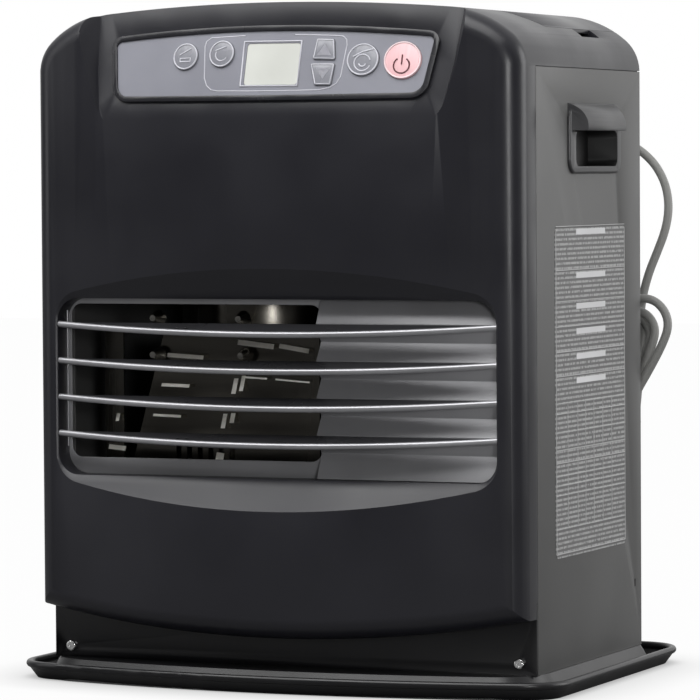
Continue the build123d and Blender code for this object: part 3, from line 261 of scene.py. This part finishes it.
lead_grey = grained("lead_grey", (0.235, 0.235, 0.225), 0.5, 900, 0.08)
lead_curve.materials.append(lead_grey)
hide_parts("cord_run", "cord_hank", "cord_tail")
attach(mains_lead, "cabinet")
dress(lead_grey, "power_plug")


# The floor and the light: a white floor whose glow is dimmed near the heater by an occlusion value,
# a painted soft shadow, a surround that is bright behind, above and to the right and dark in front,
# and broad soft lamps, as in a product photograph.
BRIGHT_SIDE = (0.2, 0.85, 0.5)
SURROUND_DARK = 0.09
SURROUND_BRIGHT = 0.9


def area_lamp(name, place, target, width, height, power):
    """A broad soft lamp turned towards a point."""
    data = bpy.data.lights.new(name, "AREA")
    data.shape = "RECTANGLE"
    data.size = width
    data.size_y = height
    data.energy = power
    lamp = bpy.data.objects.new(name, data)
    lamp.location = place
    lamp.rotation_euler = (Vector(target) - Vector(place)).to_track_quat("-Z", "Y").to_euler()
    bpy.context.scene.collection.objects.link(lamp)


def finished(name, shape, material, body):
    """A mesh piece from its shape, with its finish, riding on its body."""
    data = bpy.data.meshes.new(name)
    shape.to_mesh(data)
    shape.free()
    data.materials.append(material)
    piece = bpy.data.objects.new(name, data)
    bpy.context.scene.collection.objects.link(piece)
    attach(piece, body)
    return piece


floor_mesh = bmesh.new()
bmesh.ops.create_grid(floor_mesh, x_segments=1, y_segments=1, size=6.0)
floor_data = bpy.data.meshes.new("floor")
floor_mesh.to_mesh(floor_data)
floor_mesh.free()
floor = bpy.data.objects.new("floor", floor_data)
bpy.context.scene.collection.objects.link(floor)
floor_white = new_material("floor_white", (0.16, 0.16, 0.16), 0.9)
tree = floor_white.node_tree
glow = tree.nodes.new("ShaderNodeEmission")
glow.inputs["Color"].default_value = (1, 1, 1, 1)
# The glow strength follows an occlusion value: a painted soft shadow under the heater, not cast by
# the lamps.
painted_shadow_occlusion = tree.nodes.new("ShaderNodeAmbientOcclusion")
painted_shadow_occlusion.inputs["Distance"].default_value = 0.07
painted_soft_shadow = tree.nodes.new("ShaderNodeMapRange")
painted_soft_shadow.inputs["To Min"].default_value = 0.35
painted_soft_shadow.inputs["To Max"].default_value = 1.01
tree.links.new(painted_shadow_occlusion.outputs["AO"], painted_soft_shadow.inputs["Value"])
tree.links.new(painted_soft_shadow.outputs["Result"], glow.inputs["Strength"])
rays = tree.nodes.new("ShaderNodeLightPath")
share = tree.nodes.new("ShaderNodeMath")
share.operation = "MULTIPLY"
share.inputs[1].default_value = 0.97
blend = tree.nodes.new("ShaderNodeMixShader")
tree.links.new(rays.outputs["Is Camera Ray"], share.inputs[0])
tree.links.new(share.outputs["Value"], blend.inputs["Fac"])
tree.links.new(tree.nodes["Principled BSDF"].outputs["BSDF"], blend.inputs[1])
tree.links.new(glow.outputs["Emission"], blend.inputs[2])
tree.links.new(blend.outputs["Shader"], tree.nodes["Material Output"].inputs["Surface"])
floor_data.materials.append(floor_white)
world = bpy.data.worlds.new("surround")
bpy.context.scene.world = world
world.use_nodes = True
tree = world.node_tree
plain = tree.nodes["Background"]
plain.inputs["Color"].default_value = (1, 1, 1, 1)
aim = tree.nodes.new("ShaderNodeTexCoord")
towards = tree.nodes.new("ShaderNodeVectorMath")
towards.operation = "DOT_PRODUCT"
towards.inputs[1].default_value = BRIGHT_SIDE
level = tree.nodes.new("ShaderNodeMapRange")
level.inputs["From Min"].default_value = -0.1
level.inputs["From Max"].default_value = 0.8
level.inputs["To Min"].default_value = SURROUND_DARK
level.inputs["To Max"].default_value = SURROUND_BRIGHT
tree.links.new(aim.outputs["Generated"], towards.inputs[0])
tree.links.new(towards.outputs["Value"], level.inputs["Value"])
tree.links.new(level.outputs["Result"], plain.inputs["Strength"])
seen = tree.nodes.new("ShaderNodeBackground")
seen.inputs["Color"].default_value = (1, 1, 1, 1)
seen.inputs["Strength"].default_value = 1.0
rays = tree.nodes.new("ShaderNodeLightPath")
choice = tree.nodes.new("ShaderNodeMixShader")
tree.links.new(rays.outputs["Is Camera Ray"], choice.inputs["Fac"])
tree.links.new(plain.outputs["Background"], choice.inputs[1])
tree.links.new(seen.outputs["Background"], choice.inputs[2])
tree.links.new(choice.outputs["Shader"], tree.nodes["World Output"].inputs["Surface"])
area_lamp("lamp_left", (-2.0, -1.0, 0.9), (0, 0, 0.2), 0.9, 1.8, 7)
area_lamp("lamp_right", (2.0, 1.0, 0.6), (0, 0, 0.2), 1.2, 1.8, 21)
area_lamp("lamp_above", (-0.2, -0.8, 1.7), (0, 0, 0.25), 2.2, 1.2, 38)
area_lamp("lamp_low", (1.3, -2.0, 0.4), (-0.07, -0.1, 0.19), 0.4, 0.3, 13)
bpy.context.scene.view_settings.view_transform = "Standard"


# Drip tray and foot plate: pressed steel sheet, the tray with a rolled rim, stoved in satin black.
# The plate is held to the side sheets by two bright cross-head screws.
def eased_copy(node, name, material, width, angle=30.0, segments=2):
    """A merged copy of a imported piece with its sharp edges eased, which stands for it."""
    shape = bmesh.new()
    shape.from_mesh(nodes[node].data)
    bmesh.ops.remove_doubles(shape, verts=shape.verts, dist=1e-6)
    flat = radians(0.05)
    bmesh.ops.dissolve_limit(shape, angle_limit=flat, verts=shape.verts, edges=shape.edges)
    for face in shape.faces:
        face.smooth = True
    body = nodes[node]["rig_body"]
    piece = finished(name, shape, material, body)
    bevel = piece.modifiers.new("eased_edges", "BEVEL")
    bevel.width = width * MM
    bevel.segments = segments
    bevel.limit_method = "ANGLE"
    bevel.angle_limit = radians(angle)
    bevel.harden_normals = True
    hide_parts(node)
    return piece


tray_black = grained("tray_black", (0.006, 0.006, 0.007), 0.34, 700, 0.04)
dress(tray_black, "base_tray")
eased_copy("foot_plate", "foot_plate_sheet", tray_black, 0.3)
plated = grained("plated", (0.8, 0.8, 0.8), 0.14, 400, 0.03, metal=1.0, spread=0.04)
dress(plated, "foot_plate_screws", "rear_screws", "lid_hinge_pins", "tank_bail")

# Cabinet: folded side sheets and a flat rear sheet in sprayed mid grey, on a zinc-coated floor that
# is screwed inside, with a zinc-coated inner wall between the burner and the tank.
sheet_grey = grained("sheet_grey", (0.075, 0.075, 0.074), 0.46, 1200, 0.08)
zinc = grained("zinc", (0.42, 0.42, 0.42), 0.38, 260, 0.1, metal=0.9)
dress(sheet_grey, "rear_panel")
for side in ("left", "right"):
    eased_copy(f"{side}_side_panel", f"{side}_side_sheet", sheet_grey, 0.4)
dress(zinc, "base_plate", "partition_plate", "motor_bracket", "fan_motor", "blower_motor")
dress(zinc, "blower_housing", "fuel_tank", "fuel_sump", "fuel_pump")

# Seam seal: a thin black strip lies in the joint between the side and rear sheets and the moulding
# above them, so that no light comes through.
SEAL = [(-162.8, -87.0), (-162.8, 99.6), (162.8, 99.6), (162.8, -87.0)]
SEAL_WIDTH = 1.6
SEAL_Z = (386.12, 386.58)
seal_black = grained("seal_black", (0.01, 0.01, 0.01), 0.7, 900, 0.1)
seal = bmesh.new()
for (x0, y0), (x1, y1) in zip(SEAL, SEAL[1:]):
    strip = bmesh.ops.create_cube(seal, size=1.0)["verts"]
    size = Vector((abs(x1 - x0) + SEAL_WIDTH, abs(y1 - y0) + SEAL_WIDTH, SEAL_Z[1] - SEAL_Z[0]))
    bmesh.ops.scale(seal, vec=size * MM, verts=strip)
    middle = Vector(((x0 + x1) / 2, (y0 + y1) / 2, sum(SEAL_Z) / 2))
    bmesh.ops.translate(seal, vec=middle * MM, verts=strip)
finished("seam_seal", seal, seal_black, "cabinet")

# Side grips: a moulded black rim with a hood, round a deep hold. The faces inside the hold get a
# darker black than the rim: painted shade. The right one shows. Both are snapped into the side
# sheets.
HALF_CASE = 165.0
HOLD_EDGE = 1.2
HOLD_Y = (-24.5, 52.5)
HOLD_Z = (324.5, 348.0)
grip_black = grained("grip_black", (0.03, 0.03, 0.032), 0.34, 1500, 0.05)
hold_painted_shade = grained("hold_painted_shade", (0.008, 0.008, 0.008), 0.5, 900, 0.06)
for side, sign in (("left", -1), ("right", 1)):
    grip = eased_copy(f"{side}_handle", f"{side}_grip", grip_black, 0.7)
    grip.data.materials.append(hold_painted_shade)
    # Faces inside the hold take the darker black: painted shade in the hollow.
    for face in grip.data.polygons:
        x, y, z = [value / MM for value in face.center]
        in_painted_shade = x * sign < HALF_CASE + HOLD_EDGE
        in_painted_shade = in_painted_shade and HOLD_Y[0] < y < HOLD_Y[1] and HOLD_Z[0] < z < HOLD_Z[1]
        face.material_index = 1 if in_painted_shade else 0

# Front cover: one moulding in black plastic with a faint blue cast and a satin face. The tank lid
# is a thin shell of the same plastic that lies in its top.
cover_black = grained("cover_black", (0.014, 0.014, 0.018), 0.34, 1500, 0.06)
cover_black.node_tree.nodes["Principled BSDF"].inputs["Specular IOR Level"].default_value = 0.42
eased_copy("front_cover", "front_moulding", cover_black, 0.9, 24.0, 3)
eased_copy("tank_lid", "tank_lid_shell", cover_black, 0.5)

# Rating sheet: a thin printed film stuck on the right side, with pale rows, bars and a ruled table
# that say nothing.
FILM_X = 165.38
LABEL_BARS = [284.2, 257.0, 237.7, 222.0, 206.3, 191.2]
TABLE_TOP = 178.0
TABLE_BOTTOM = 100.0
TABLE_COLUMNS = [-36.6, -18.8, -4.5, 10.6, 27.1, 43.8]
TABLE_ROWS = [171.5, 160.0, 149.0, 141.0, 133.0, 127.0, 121.0]
LABEL_Y = (-56.8, 68.8)
LABEL_Z = (84.5, 286.0)
BAR_RISE = 3.6
BAR_HEIGHT = 3.6
BAR_WIDTH = 53.0
BAR_MIDDLE = 6.3
label_film = new_material("label_film", (0.12, 0.12, 0.12), 0.5)
tree = label_film.node_tree
place = tree.nodes.new("ShaderNodeTexCoord")
rows = tree.nodes.new("ShaderNodeTexWave")
rows.wave_type = "BANDS"
rows.bands_direction = "Z"
rows.inputs["Scale"].default_value = 105.0
tree.links.new(place.outputs["Object"], rows.inputs["Vector"])
marks = object_noise(label_film, 900, 2, (1, 1, 0.3))
row_edge = tree.nodes.new("ShaderNodeMapRange")
row_edge.inputs["From Min"].default_value = 0.35
row_edge.inputs["From Max"].default_value = 0.65
tree.links.new(rows.outputs["Fac"], row_edge.inputs["Value"])
mark_edge = tree.nodes.new("ShaderNodeMapRange")
mark_edge.inputs["From Min"].default_value = 0.36
mark_edge.inputs["From Max"].default_value = 0.5
tree.links.new(marks, mark_edge.inputs["Value"])
printed = tree.nodes.new("ShaderNodeMath")
printed.operation = "MULTIPLY"
tree.links.new(row_edge.outputs["Result"], printed.inputs[0])
tree.links.new(mark_edge.outputs["Result"], printed.inputs[1])
vary_colour(label_film, printed.outputs["Value"], (0.115, 0.115, 0.115), (0.36, 0.36, 0.36))
dress(label_film, "side_label")


def wires(name, lines, radius, material, body, closed=False):
    """Thin raised strokes along lines of points."""
    curve = bpy.data.curves.new(name, "CURVE")
    curve.dimensions = "3D"
    curve.bevel_depth = radius * MM
    curve.bevel_resolution = 2
    curve.use_fill_caps = True
    for line in lines:
        stroke = curve.splines.new("POLY")
        stroke.points.add(len(line) - 1)
        stroke.use_cyclic_u = closed
        for point, place in zip(stroke.points, line):
            point.co = (place[0] * MM, place[1] * MM, place[2] * MM, 1)
    curve.materials.append(material)
    piece = bpy.data.objects.new(name, curve)
    bpy.context.scene.collection.objects.link(piece)
    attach(piece, body)
    return piece


print_pale = grained("print_pale", (0.42, 0.42, 0.42), 0.5, 800, 0.02)
print_white = grained("print_white", (0.62, 0.62, 0.63), 0.45, 800, 0.02)
rule_heights = TABLE_ROWS + [TABLE_TOP, TABLE_BOTTOM]
rule_heights += [z + BAR_RISE for z in LABEL_BARS] + [LABEL_Z[0]]
rules = [[(FILM_X, LABEL_Y[0], z), (FILM_X, LABEL_Y[1], z)] for z in rule_heights]
rules += [[(FILM_X, y, TABLE_TOP), (FILM_X, y, TABLE_BOTTOM)] for y in TABLE_COLUMNS]
rules += [[(FILM_X, y, LABEL_Z[0]), (FILM_X, y, LABEL_Z[1])] for y in LABEL_Y]
wires("label_rules", rules, 0.28, print_pale, "cabinet")
bars = bmesh.new()
for z in LABEL_BARS:
    bar = bmesh.ops.create_grid(bars, x_segments=1, y_segments=1, size=0.5)["verts"]
    bmesh.ops.scale(bars, vec=(BAR_HEIGHT * MM, BAR_WIDTH * MM, 1), verts=bar)
    bmesh.ops.rotate(bars, matrix=Matrix.Rotation(radians(90), 3, "Y"), verts=bar)
    bmesh.ops.translate(bars, vec=Vector((FILM_X + 0.02, BAR_MIDDLE, z)) * MM, verts=bar)
bmesh.ops.solidify(bars, geom=bars.faces[:], thickness=0.15 * MM)
bmesh.ops.recalc_face_normals(bars, faces=bars.faces)
finished("label_bars", bars, print_white, "cabinet")

# Outlet: a grey steel frame round the burner window, a stepped grey sheet beside it, and four
# blades of dark sheet whose front edges are rolled and left in satin silver.
OUTLET_PLANE = -116.5
BLADE_END = 148.7
BLADE_REACH = 13.0
BLADE_BACK = 3.0
BLADE_TOP = 226.8
BLADE_PITCH = 23.0
BLADE_TILT = radians(23.0)
HEM_RADIUS = 2.0
BLADE_SHEET = 0.9
RIVET_RADIUS = 1.1
RIVET_PLACES = (-63.0, -57.0)
RIVET_INSET = -5.0
outlet_grey = grained("outlet_grey", (0.24, 0.24, 0.25), 0.36, 900, 0.04, metal=0.25)
blade_silver = grained("blade_silver", (0.36, 0.36, 0.375), 0.34, 600, 0.03, metal=0.7)
blade_dark = grained("blade_dark", (0.03, 0.03, 0.033), 0.3, 700, 0.03, metal=0.2)
eased_copy("outlet_frame", "window_frame", outlet_grey, 0.3)
eased_copy("closing_sheet", "stepped_sheet", outlet_grey, 0.35, 20.0)


def blade_place(x, along, above, height):
    """A point on a blade: across the outlet, back from its lip line, and off its sheet."""
    y = OUTLET_PLANE + along * cos(BLADE_TILT) - above * sin(BLADE_TILT)
    z = height + along * sin(BLADE_TILT) + above * cos(BLADE_TILT)
    return Vector((x, y, z))


def lip(x):
    """How far the bowed lip stands forward at a place across the outlet."""
    return BLADE_REACH * (1 - (x / BLADE_END) ** 2)


for number in range(1, 5):
    height = BLADE_TOP - (number - 1) * BLADE_PITCH
    sheet = bmesh.new()
    bmesh.ops.create_grid(sheet, x_segments=48, y_segments=3, size=1.0)
    for vert in sheet.verts:
        x = vert.co.x * BLADE_END
        front = HEM_RADIUS - lip(x)
        along = front + (vert.co.y + 1) / 2 * (BLADE_BACK - front)
        vert.co = blade_place(x, along, 0.5, height) * MM
    bmesh.ops.solidify(sheet, geom=sheet.faces[:], thickness=BLADE_SHEET * MM)
    bmesh.ops.recalc_face_normals(sheet, faces=sheet.faces)
    piece = finished(f"blade_sheet_{number}", sheet, blade_dark, "cabinet")
    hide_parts(f"louvre_blade_{number}")
    spots = [BLADE_END * (step / 30 - 1) for step in range(61)]
    line = [blade_place(x, HEM_RADIUS - lip(x), -0.3, height) for x in spots]
    hem = wires(f"blade_hem_{number}", [line], HEM_RADIUS, blade_silver, "cabinet")
    hem.data.bevel_resolution = 5
    rivets = bmesh.new()
    for x in RIVET_PLACES:
        radius = RIVET_RADIUS * MM
        made = bmesh.ops.create_uvsphere(rivets, u_segments=16, v_segments=8, radius=radius)
        head = made["verts"]
        bmesh.ops.scale(rivets, vec=(1, 1, 0.5), verts=head)
        bmesh.ops.translate(rivets, vec=blade_place(x, RIVET_INSET, 1.0, height) * MM, verts=head)
    finished(f"blade_rivets_{number}", rivets, blade_dark, "cabinet")

# Control panel: a black bezel, a grey printed plate that follows the bow, a pale display, six keys
# that stand through it on a green board, and thin pale print.
FACE_BOW = 890.0
PANEL_LEAN = radians(16.0)
PANEL_PLACE = Vector((0, -120.5, 390.0))
FASCIA_FACE = 0.9
KEY_FACE = 2.0
panel_up = Vector((0, sin(PANEL_LEAN), cos(PANEL_LEAN)))
panel_out = Vector((0, -cos(PANEL_LEAN), sin(PANEL_LEAN)))


def panel_place(x, y, rise=FASCIA_FACE):
    """A point on the bowed control surface."""
    drop = x * x / (2 * FACE_BOW)
    return PANEL_PLACE + Vector((x, 0, 0)) + panel_up * y + panel_out * (rise - drop)


def ring(x, y, radius, rise, first=0.0, last=360.0):
    """Points round a circle, or part of one, on the control surface."""
    steps = 40
    count = steps + (last - first < 360)
    points = []
    for step in range(count):
        angle = radians(first + (last - first) * step / steps)
        points.append(panel_place(x + radius * cos(angle), y + radius * sin(angle), rise))
    return points


def key_line(*places):
    """A stroke on the face of a key, through places on the control surface."""
    return [panel_place(x, y, KEY_FACE) for x, y in places]


bezel_black = grained("bezel_black", (0.014, 0.014, 0.017), 0.25, 900, 0.02)
fascia_grey = grained("fascia_grey", (0.225, 0.228, 0.262), 0.34, 900, 0.03, coat=0.3)
display_pale = grained("display_pale", (0.6, 0.61, 0.57), 0.2, 500, 0.01, spread=0.03)
key_grey = grained("key_grey", (0.235, 0.238, 0.265), 0.26, 900, 0.02, coat=0.3)
key_pink = grained("key_pink", (0.8, 0.5, 0.52), 0.3, 900, 0.02)
mark_red = grained("mark_red", (0.09, 0.015, 0.02), 0.4, 900, 0.02)
print_light = grained("print_light", (0.55, 0.55, 0.6), 0.35, 900, 0.02)
eased_copy("control_bezel", "panel_bezel", bezel_black, 0.6, 30.0, 3)
dress(fascia_grey, "control_fascia")
dress(display_pale, "lcd_window")
for name in ("timer", "fan", "up", "down", "save"):
    eased_copy(f"{name}_button", f"{name}_key_cap", key_grey, 0.5, 40.0, 3)
eased_copy("power_button", "power_key_cap", key_pink, 0.6, 40.0, 3)
board_green = grained("board_green", (0.02, 0.12, 0.05), 0.4, 500, 0.1)
dress(board_green, "control_board", "main_board")
display_edge = [(-16.6, 13.7), (21.9, 13.6), (22.0, -15.2), (-16.6, -15.0)]
frame_line = [panel_place(x, y, FASCIA_FACE + 0.1) for x, y in display_edge]
wires("display_edge", [frame_line], 0.62, print_light, "cabinet", closed=True)
group_edge = [(-16.7, 17.6), (-40.0, 16.8), (-43.2, 14.6), (-44.0, 11.4), (-42.0, -9.2)]
group_edge += [(-40.0, -14.0), (-36.5, -17.0), (-32.0, -17.9), (0.0, -18.4), (36.0, -18.0)]
group_edge += [(43.5, -16.4), (48.0, -13.6), (50.0, -9.0), (52.0, 11.0), (51.4, 14.4)]
group_edge += [(49.0, 16.4), (44.0, 16.9), (17.0, 17.7)]
group_line = [panel_place(x, y) for x, y in group_edge]
wires("panel_group_line", [group_line], 0.34, print_light, "cabinet")
ROUND_KEYS = {"timer": (-56.6, 5.0, 8.0), "fan": (-31.4, 6.0, 8.0), "save": (63.5, 1.3, 9.7)}
for name, (x, y, radius) in ROUND_KEYS.items():
    strokes = [ring(x, y, radius, KEY_FACE)]
    wires(f"{name}_key_rim", strokes, 0.5, print_light, f"{name}_key", closed=True)
swoosh = key_line(*[(-60.6 + 1.5 * step, 6.0 + 0.8 * step) for step in range(6)])
box_mark = key_line((-60.0, 1.6), (-53.0, 1.6), (-53.0, 3.8), (-60.0, 3.8), (-60.0, 1.6))
wires("timer_key_mark", [swoosh, box_mark], 0.42, print_light, "timer_key")
fan_marks = [ring(-31.4, 5.4, 4.0, KEY_FACE, 150, 330), key_line((-36.0, 8.0), (-28.5, 10.6))]
wires("fan_key_mark", fan_marks, 0.42, print_light, "fan_key")
save_marks = [ring(63.5, -0.8, 5.2, KEY_FACE, 20, 340), ring(63.5, -1.0, 2.2, KEY_FACE, 190, 350)]
save_marks.append(key_line((57.2, 3.0), (63.0, 6.2), (70.0, 8.0)))
wires("save_key_mark", save_marks, 0.45, print_light, "save_key")
power_marks = [ring(88.7, -2.2, 5.0, KEY_FACE, 125, 415), key_line((88.7, 4.6), (88.7, -1.6))]
wires("power_key_mark", power_marks, 0.5, mark_red, "power_key")
power_rim = [ring(89.0, 1.2, 11.3, KEY_FACE - 0.1)]
key_rim_pale = grained("key_rim_pale", (0.8, 0.62, 0.64), 0.3, 900, 0.02)
wires("power_key_rim", power_rim, 0.55, key_rim_pale, "power_key", closed=True)
RIM_SHARE = 0.9
ARROW_KEYS = {
    "up": (
        [(32.2, 14.8), (43.6, 14.4), (45.7, 1.2), (30.5, 1.6)],
        [(33.4, 4.2), (42.6, 4.0), (38.0, 11.4)],
    ),
    "down": (
        [(29.6, -1.2), (45.6, -1.2), (44.3, -15.0), (33.6, -15.0)],
        [(33.6, -4.2), (43.0, -4.2), (38.6, -11.2)],
    ),
}
for name, (outline, arrow) in ARROW_KEYS.items():
    middle_x = sum(point[0] for point in outline) / 4
    middle_y = sum(point[1] for point in outline) / 4
    inset = []
    for x, y in outline:
        inset.append((middle_x + (x - middle_x) * RIM_SHARE, middle_y + (y - middle_y) * RIM_SHARE))
    rim = [key_line(*inset)]
    wires(f"{name}_key_rim", rim, 0.42, print_light, f"{name}_key", closed=True)
    triangle = bmesh.new()
    corners = [triangle.verts.new(panel_place(x, y, KEY_FACE + 0.1) * MM) for x, y in arrow]
    triangle.faces.new(corners)
    bmesh.ops.solidify(triangle, geom=triangle.faces[:], thickness=0.3 * MM)
    bmesh.ops.recalc_face_normals(triangle, faces=triangle.faces)
    finished(f"{name}_key_arrow", triangle, print_light, f"{name}_key")

# Moulded black parts behind and inside: guard, filter, shroud, fan, blower wheel, cap, gland, tie.
moulded_black = grained("moulded_black", (0.02, 0.02, 0.02), 0.45, 900, 0.08)
filter_grey = grained("filter_grey", (0.06, 0.06, 0.06), 0.7, 1600, 0.6)
dress(moulded_black, "fan_guard", "fan_shroud", "room_fan", "blower_wheel", "tank_cap")
dress(moulded_black, "cord_gland", "cord_tie")
dress(filter_grey, "air_filter")

# Burner: a folded stainless shield, gently dented, behind the window, with four cone nuts and pale
# slim strips on its face that are painted glints, round a cast pot, a stainless chamber and ceramic
# rods.
# The stainless tone is dark and slightly warm, far below bare steel: painted shade inside the
# chamber.
chamber_shade_tone = (0.12, 0.113, 0.1)
stainless = grained("stainless", chamber_shade_tone, 0.26, 200, 0.06, metal=1.0, stretch=(1, 1, 0.1))
dents = object_noise(stainless, 16, 1, (1.0, 1.0, 1.6))
raise_grain(stainless, dents, 0.5, 0.004)
cast_black = grained("cast_black", (0.08, 0.08, 0.08), 0.6, 300, 0.3)
ceramic = grained("ceramic", (0.75, 0.73, 0.68), 0.35, 500, 0.02)
brass = grained("brass", (0.7, 0.52, 0.25), 0.25, 400, 0.03, metal=1.0)
dress(stainless, "burner_head", "combustion_chamber", "heat_shield")
bright_steel = grained("bright_steel", (0.6, 0.58, 0.54), 0.22, 300, 0.05, metal=1.0)
NUT_PLACES = [(-97.7, 230.3), (-38.1, 230.1), (-97.9, 207.0), (-36.7, 207.0)]
NUT_FACE = -80.0
NUT_FOOT = 5.2
NUT_TIP = 2.0
NUT_DEPTH = 9.0
nuts = bmesh.new()
for x, z in NUT_PLACES:
    cone = bmesh.ops.create_cone(
        nuts,
        cap_ends=True,
        segments=24,
        radius1=NUT_FOOT * MM,
        radius2=NUT_TIP * MM,
        depth=NUT_DEPTH * MM,
    )["verts"]
    bmesh.ops.rotate(nuts, matrix=Matrix.Rotation(radians(90), 3, "X"), verts=cone)
    bmesh.ops.translate(nuts, vec=Vector((x, NUT_FACE, z)) * MM, verts=cone)
finished("shield_nuts", nuts, bright_steel, "cabinet")
# Pale slim strips leaned towards the low lamp on the shield's face: painted glints that stand for
# reflections in the plate.
glint_pale = grained("glint_pale", (0.82, 0.8, 0.75), 0.35, 300, 0.05, metal=0.3)
GLINT_FACE = -76.0
GLINT_LEAN = 0.5
GLINT_SHEET = 0.4
GLINT_STRIPS = [
    (-91.9, 206.6, -66.5, 205.2, 2.6),
    (-96.0, 187.6, -76.5, 187.0, 2.0),
    (-102.1, 168.2, -82.5, 167.6, 1.6),
    (-42.5, 215.2, -17.5, 212.6, 3.2),
    (-13.7, 213.2, 6.7, 210.0, 2.8),
    (-38.8, 193.2, -22.2, 192.4, 1.2),
    (-16.4, 192.0, 7.2, 190.4, 1.0),
    (-47.0, 188.0, -44.0, 188.0, 11.0),
    (-41.6, 189.0, -38.9, 189.0, 9.5),
    (-54.6, 165.0, -51.6, 165.0, 9.0),
    (-48.4, 167.0, -45.4, 167.0, 6.0),
    (-58.4, 142.8, -53.0, 142.2, 4.6),
    (-134.0, 147.4, -122.0, 146.4, 2.8),
    (-128.8, 166.4, -126.4, 166.4, 5.0),
]
glint_mesh = bmesh.new()
for x0, z0, x1, z1, height in GLINT_STRIPS:
    low, high = GLINT_FACE, GLINT_FACE + GLINT_LEAN * height
    corners = [(x0, low, z0 - height / 2), (x1, low, z1 - height / 2)]
    corners += [(x1, high, z1 + height / 2), (x0, high, z0 + height / 2)]
    glint_mesh.faces.new([glint_mesh.verts.new(Vector(corner) * MM) for corner in corners])
bmesh.ops.solidify(glint_mesh, geom=glint_mesh.faces[:], thickness=GLINT_SHEET * MM)
bmesh.ops.recalc_face_normals(glint_mesh, faces=glint_mesh.faces)
finished("shield_painted_glints", glint_mesh, glint_pale, "cabinet")
# A thin silver strip down the window's left jamb: a painted highlight for light on the jamb's
# rounded edge.
jamb_highlight_line = [(-144.2, -112.0, 150.0), (-144.2, -112.0, 236.0)]
wires("jamb_painted_highlight", [jamb_highlight_line], 0.5, blade_silver, "cabinet")
dress(cast_black, "burner_pot")
dress(ceramic, "igniter", "flame_sensor")
dress(brass, "fuel_pipe", "valve_pin")
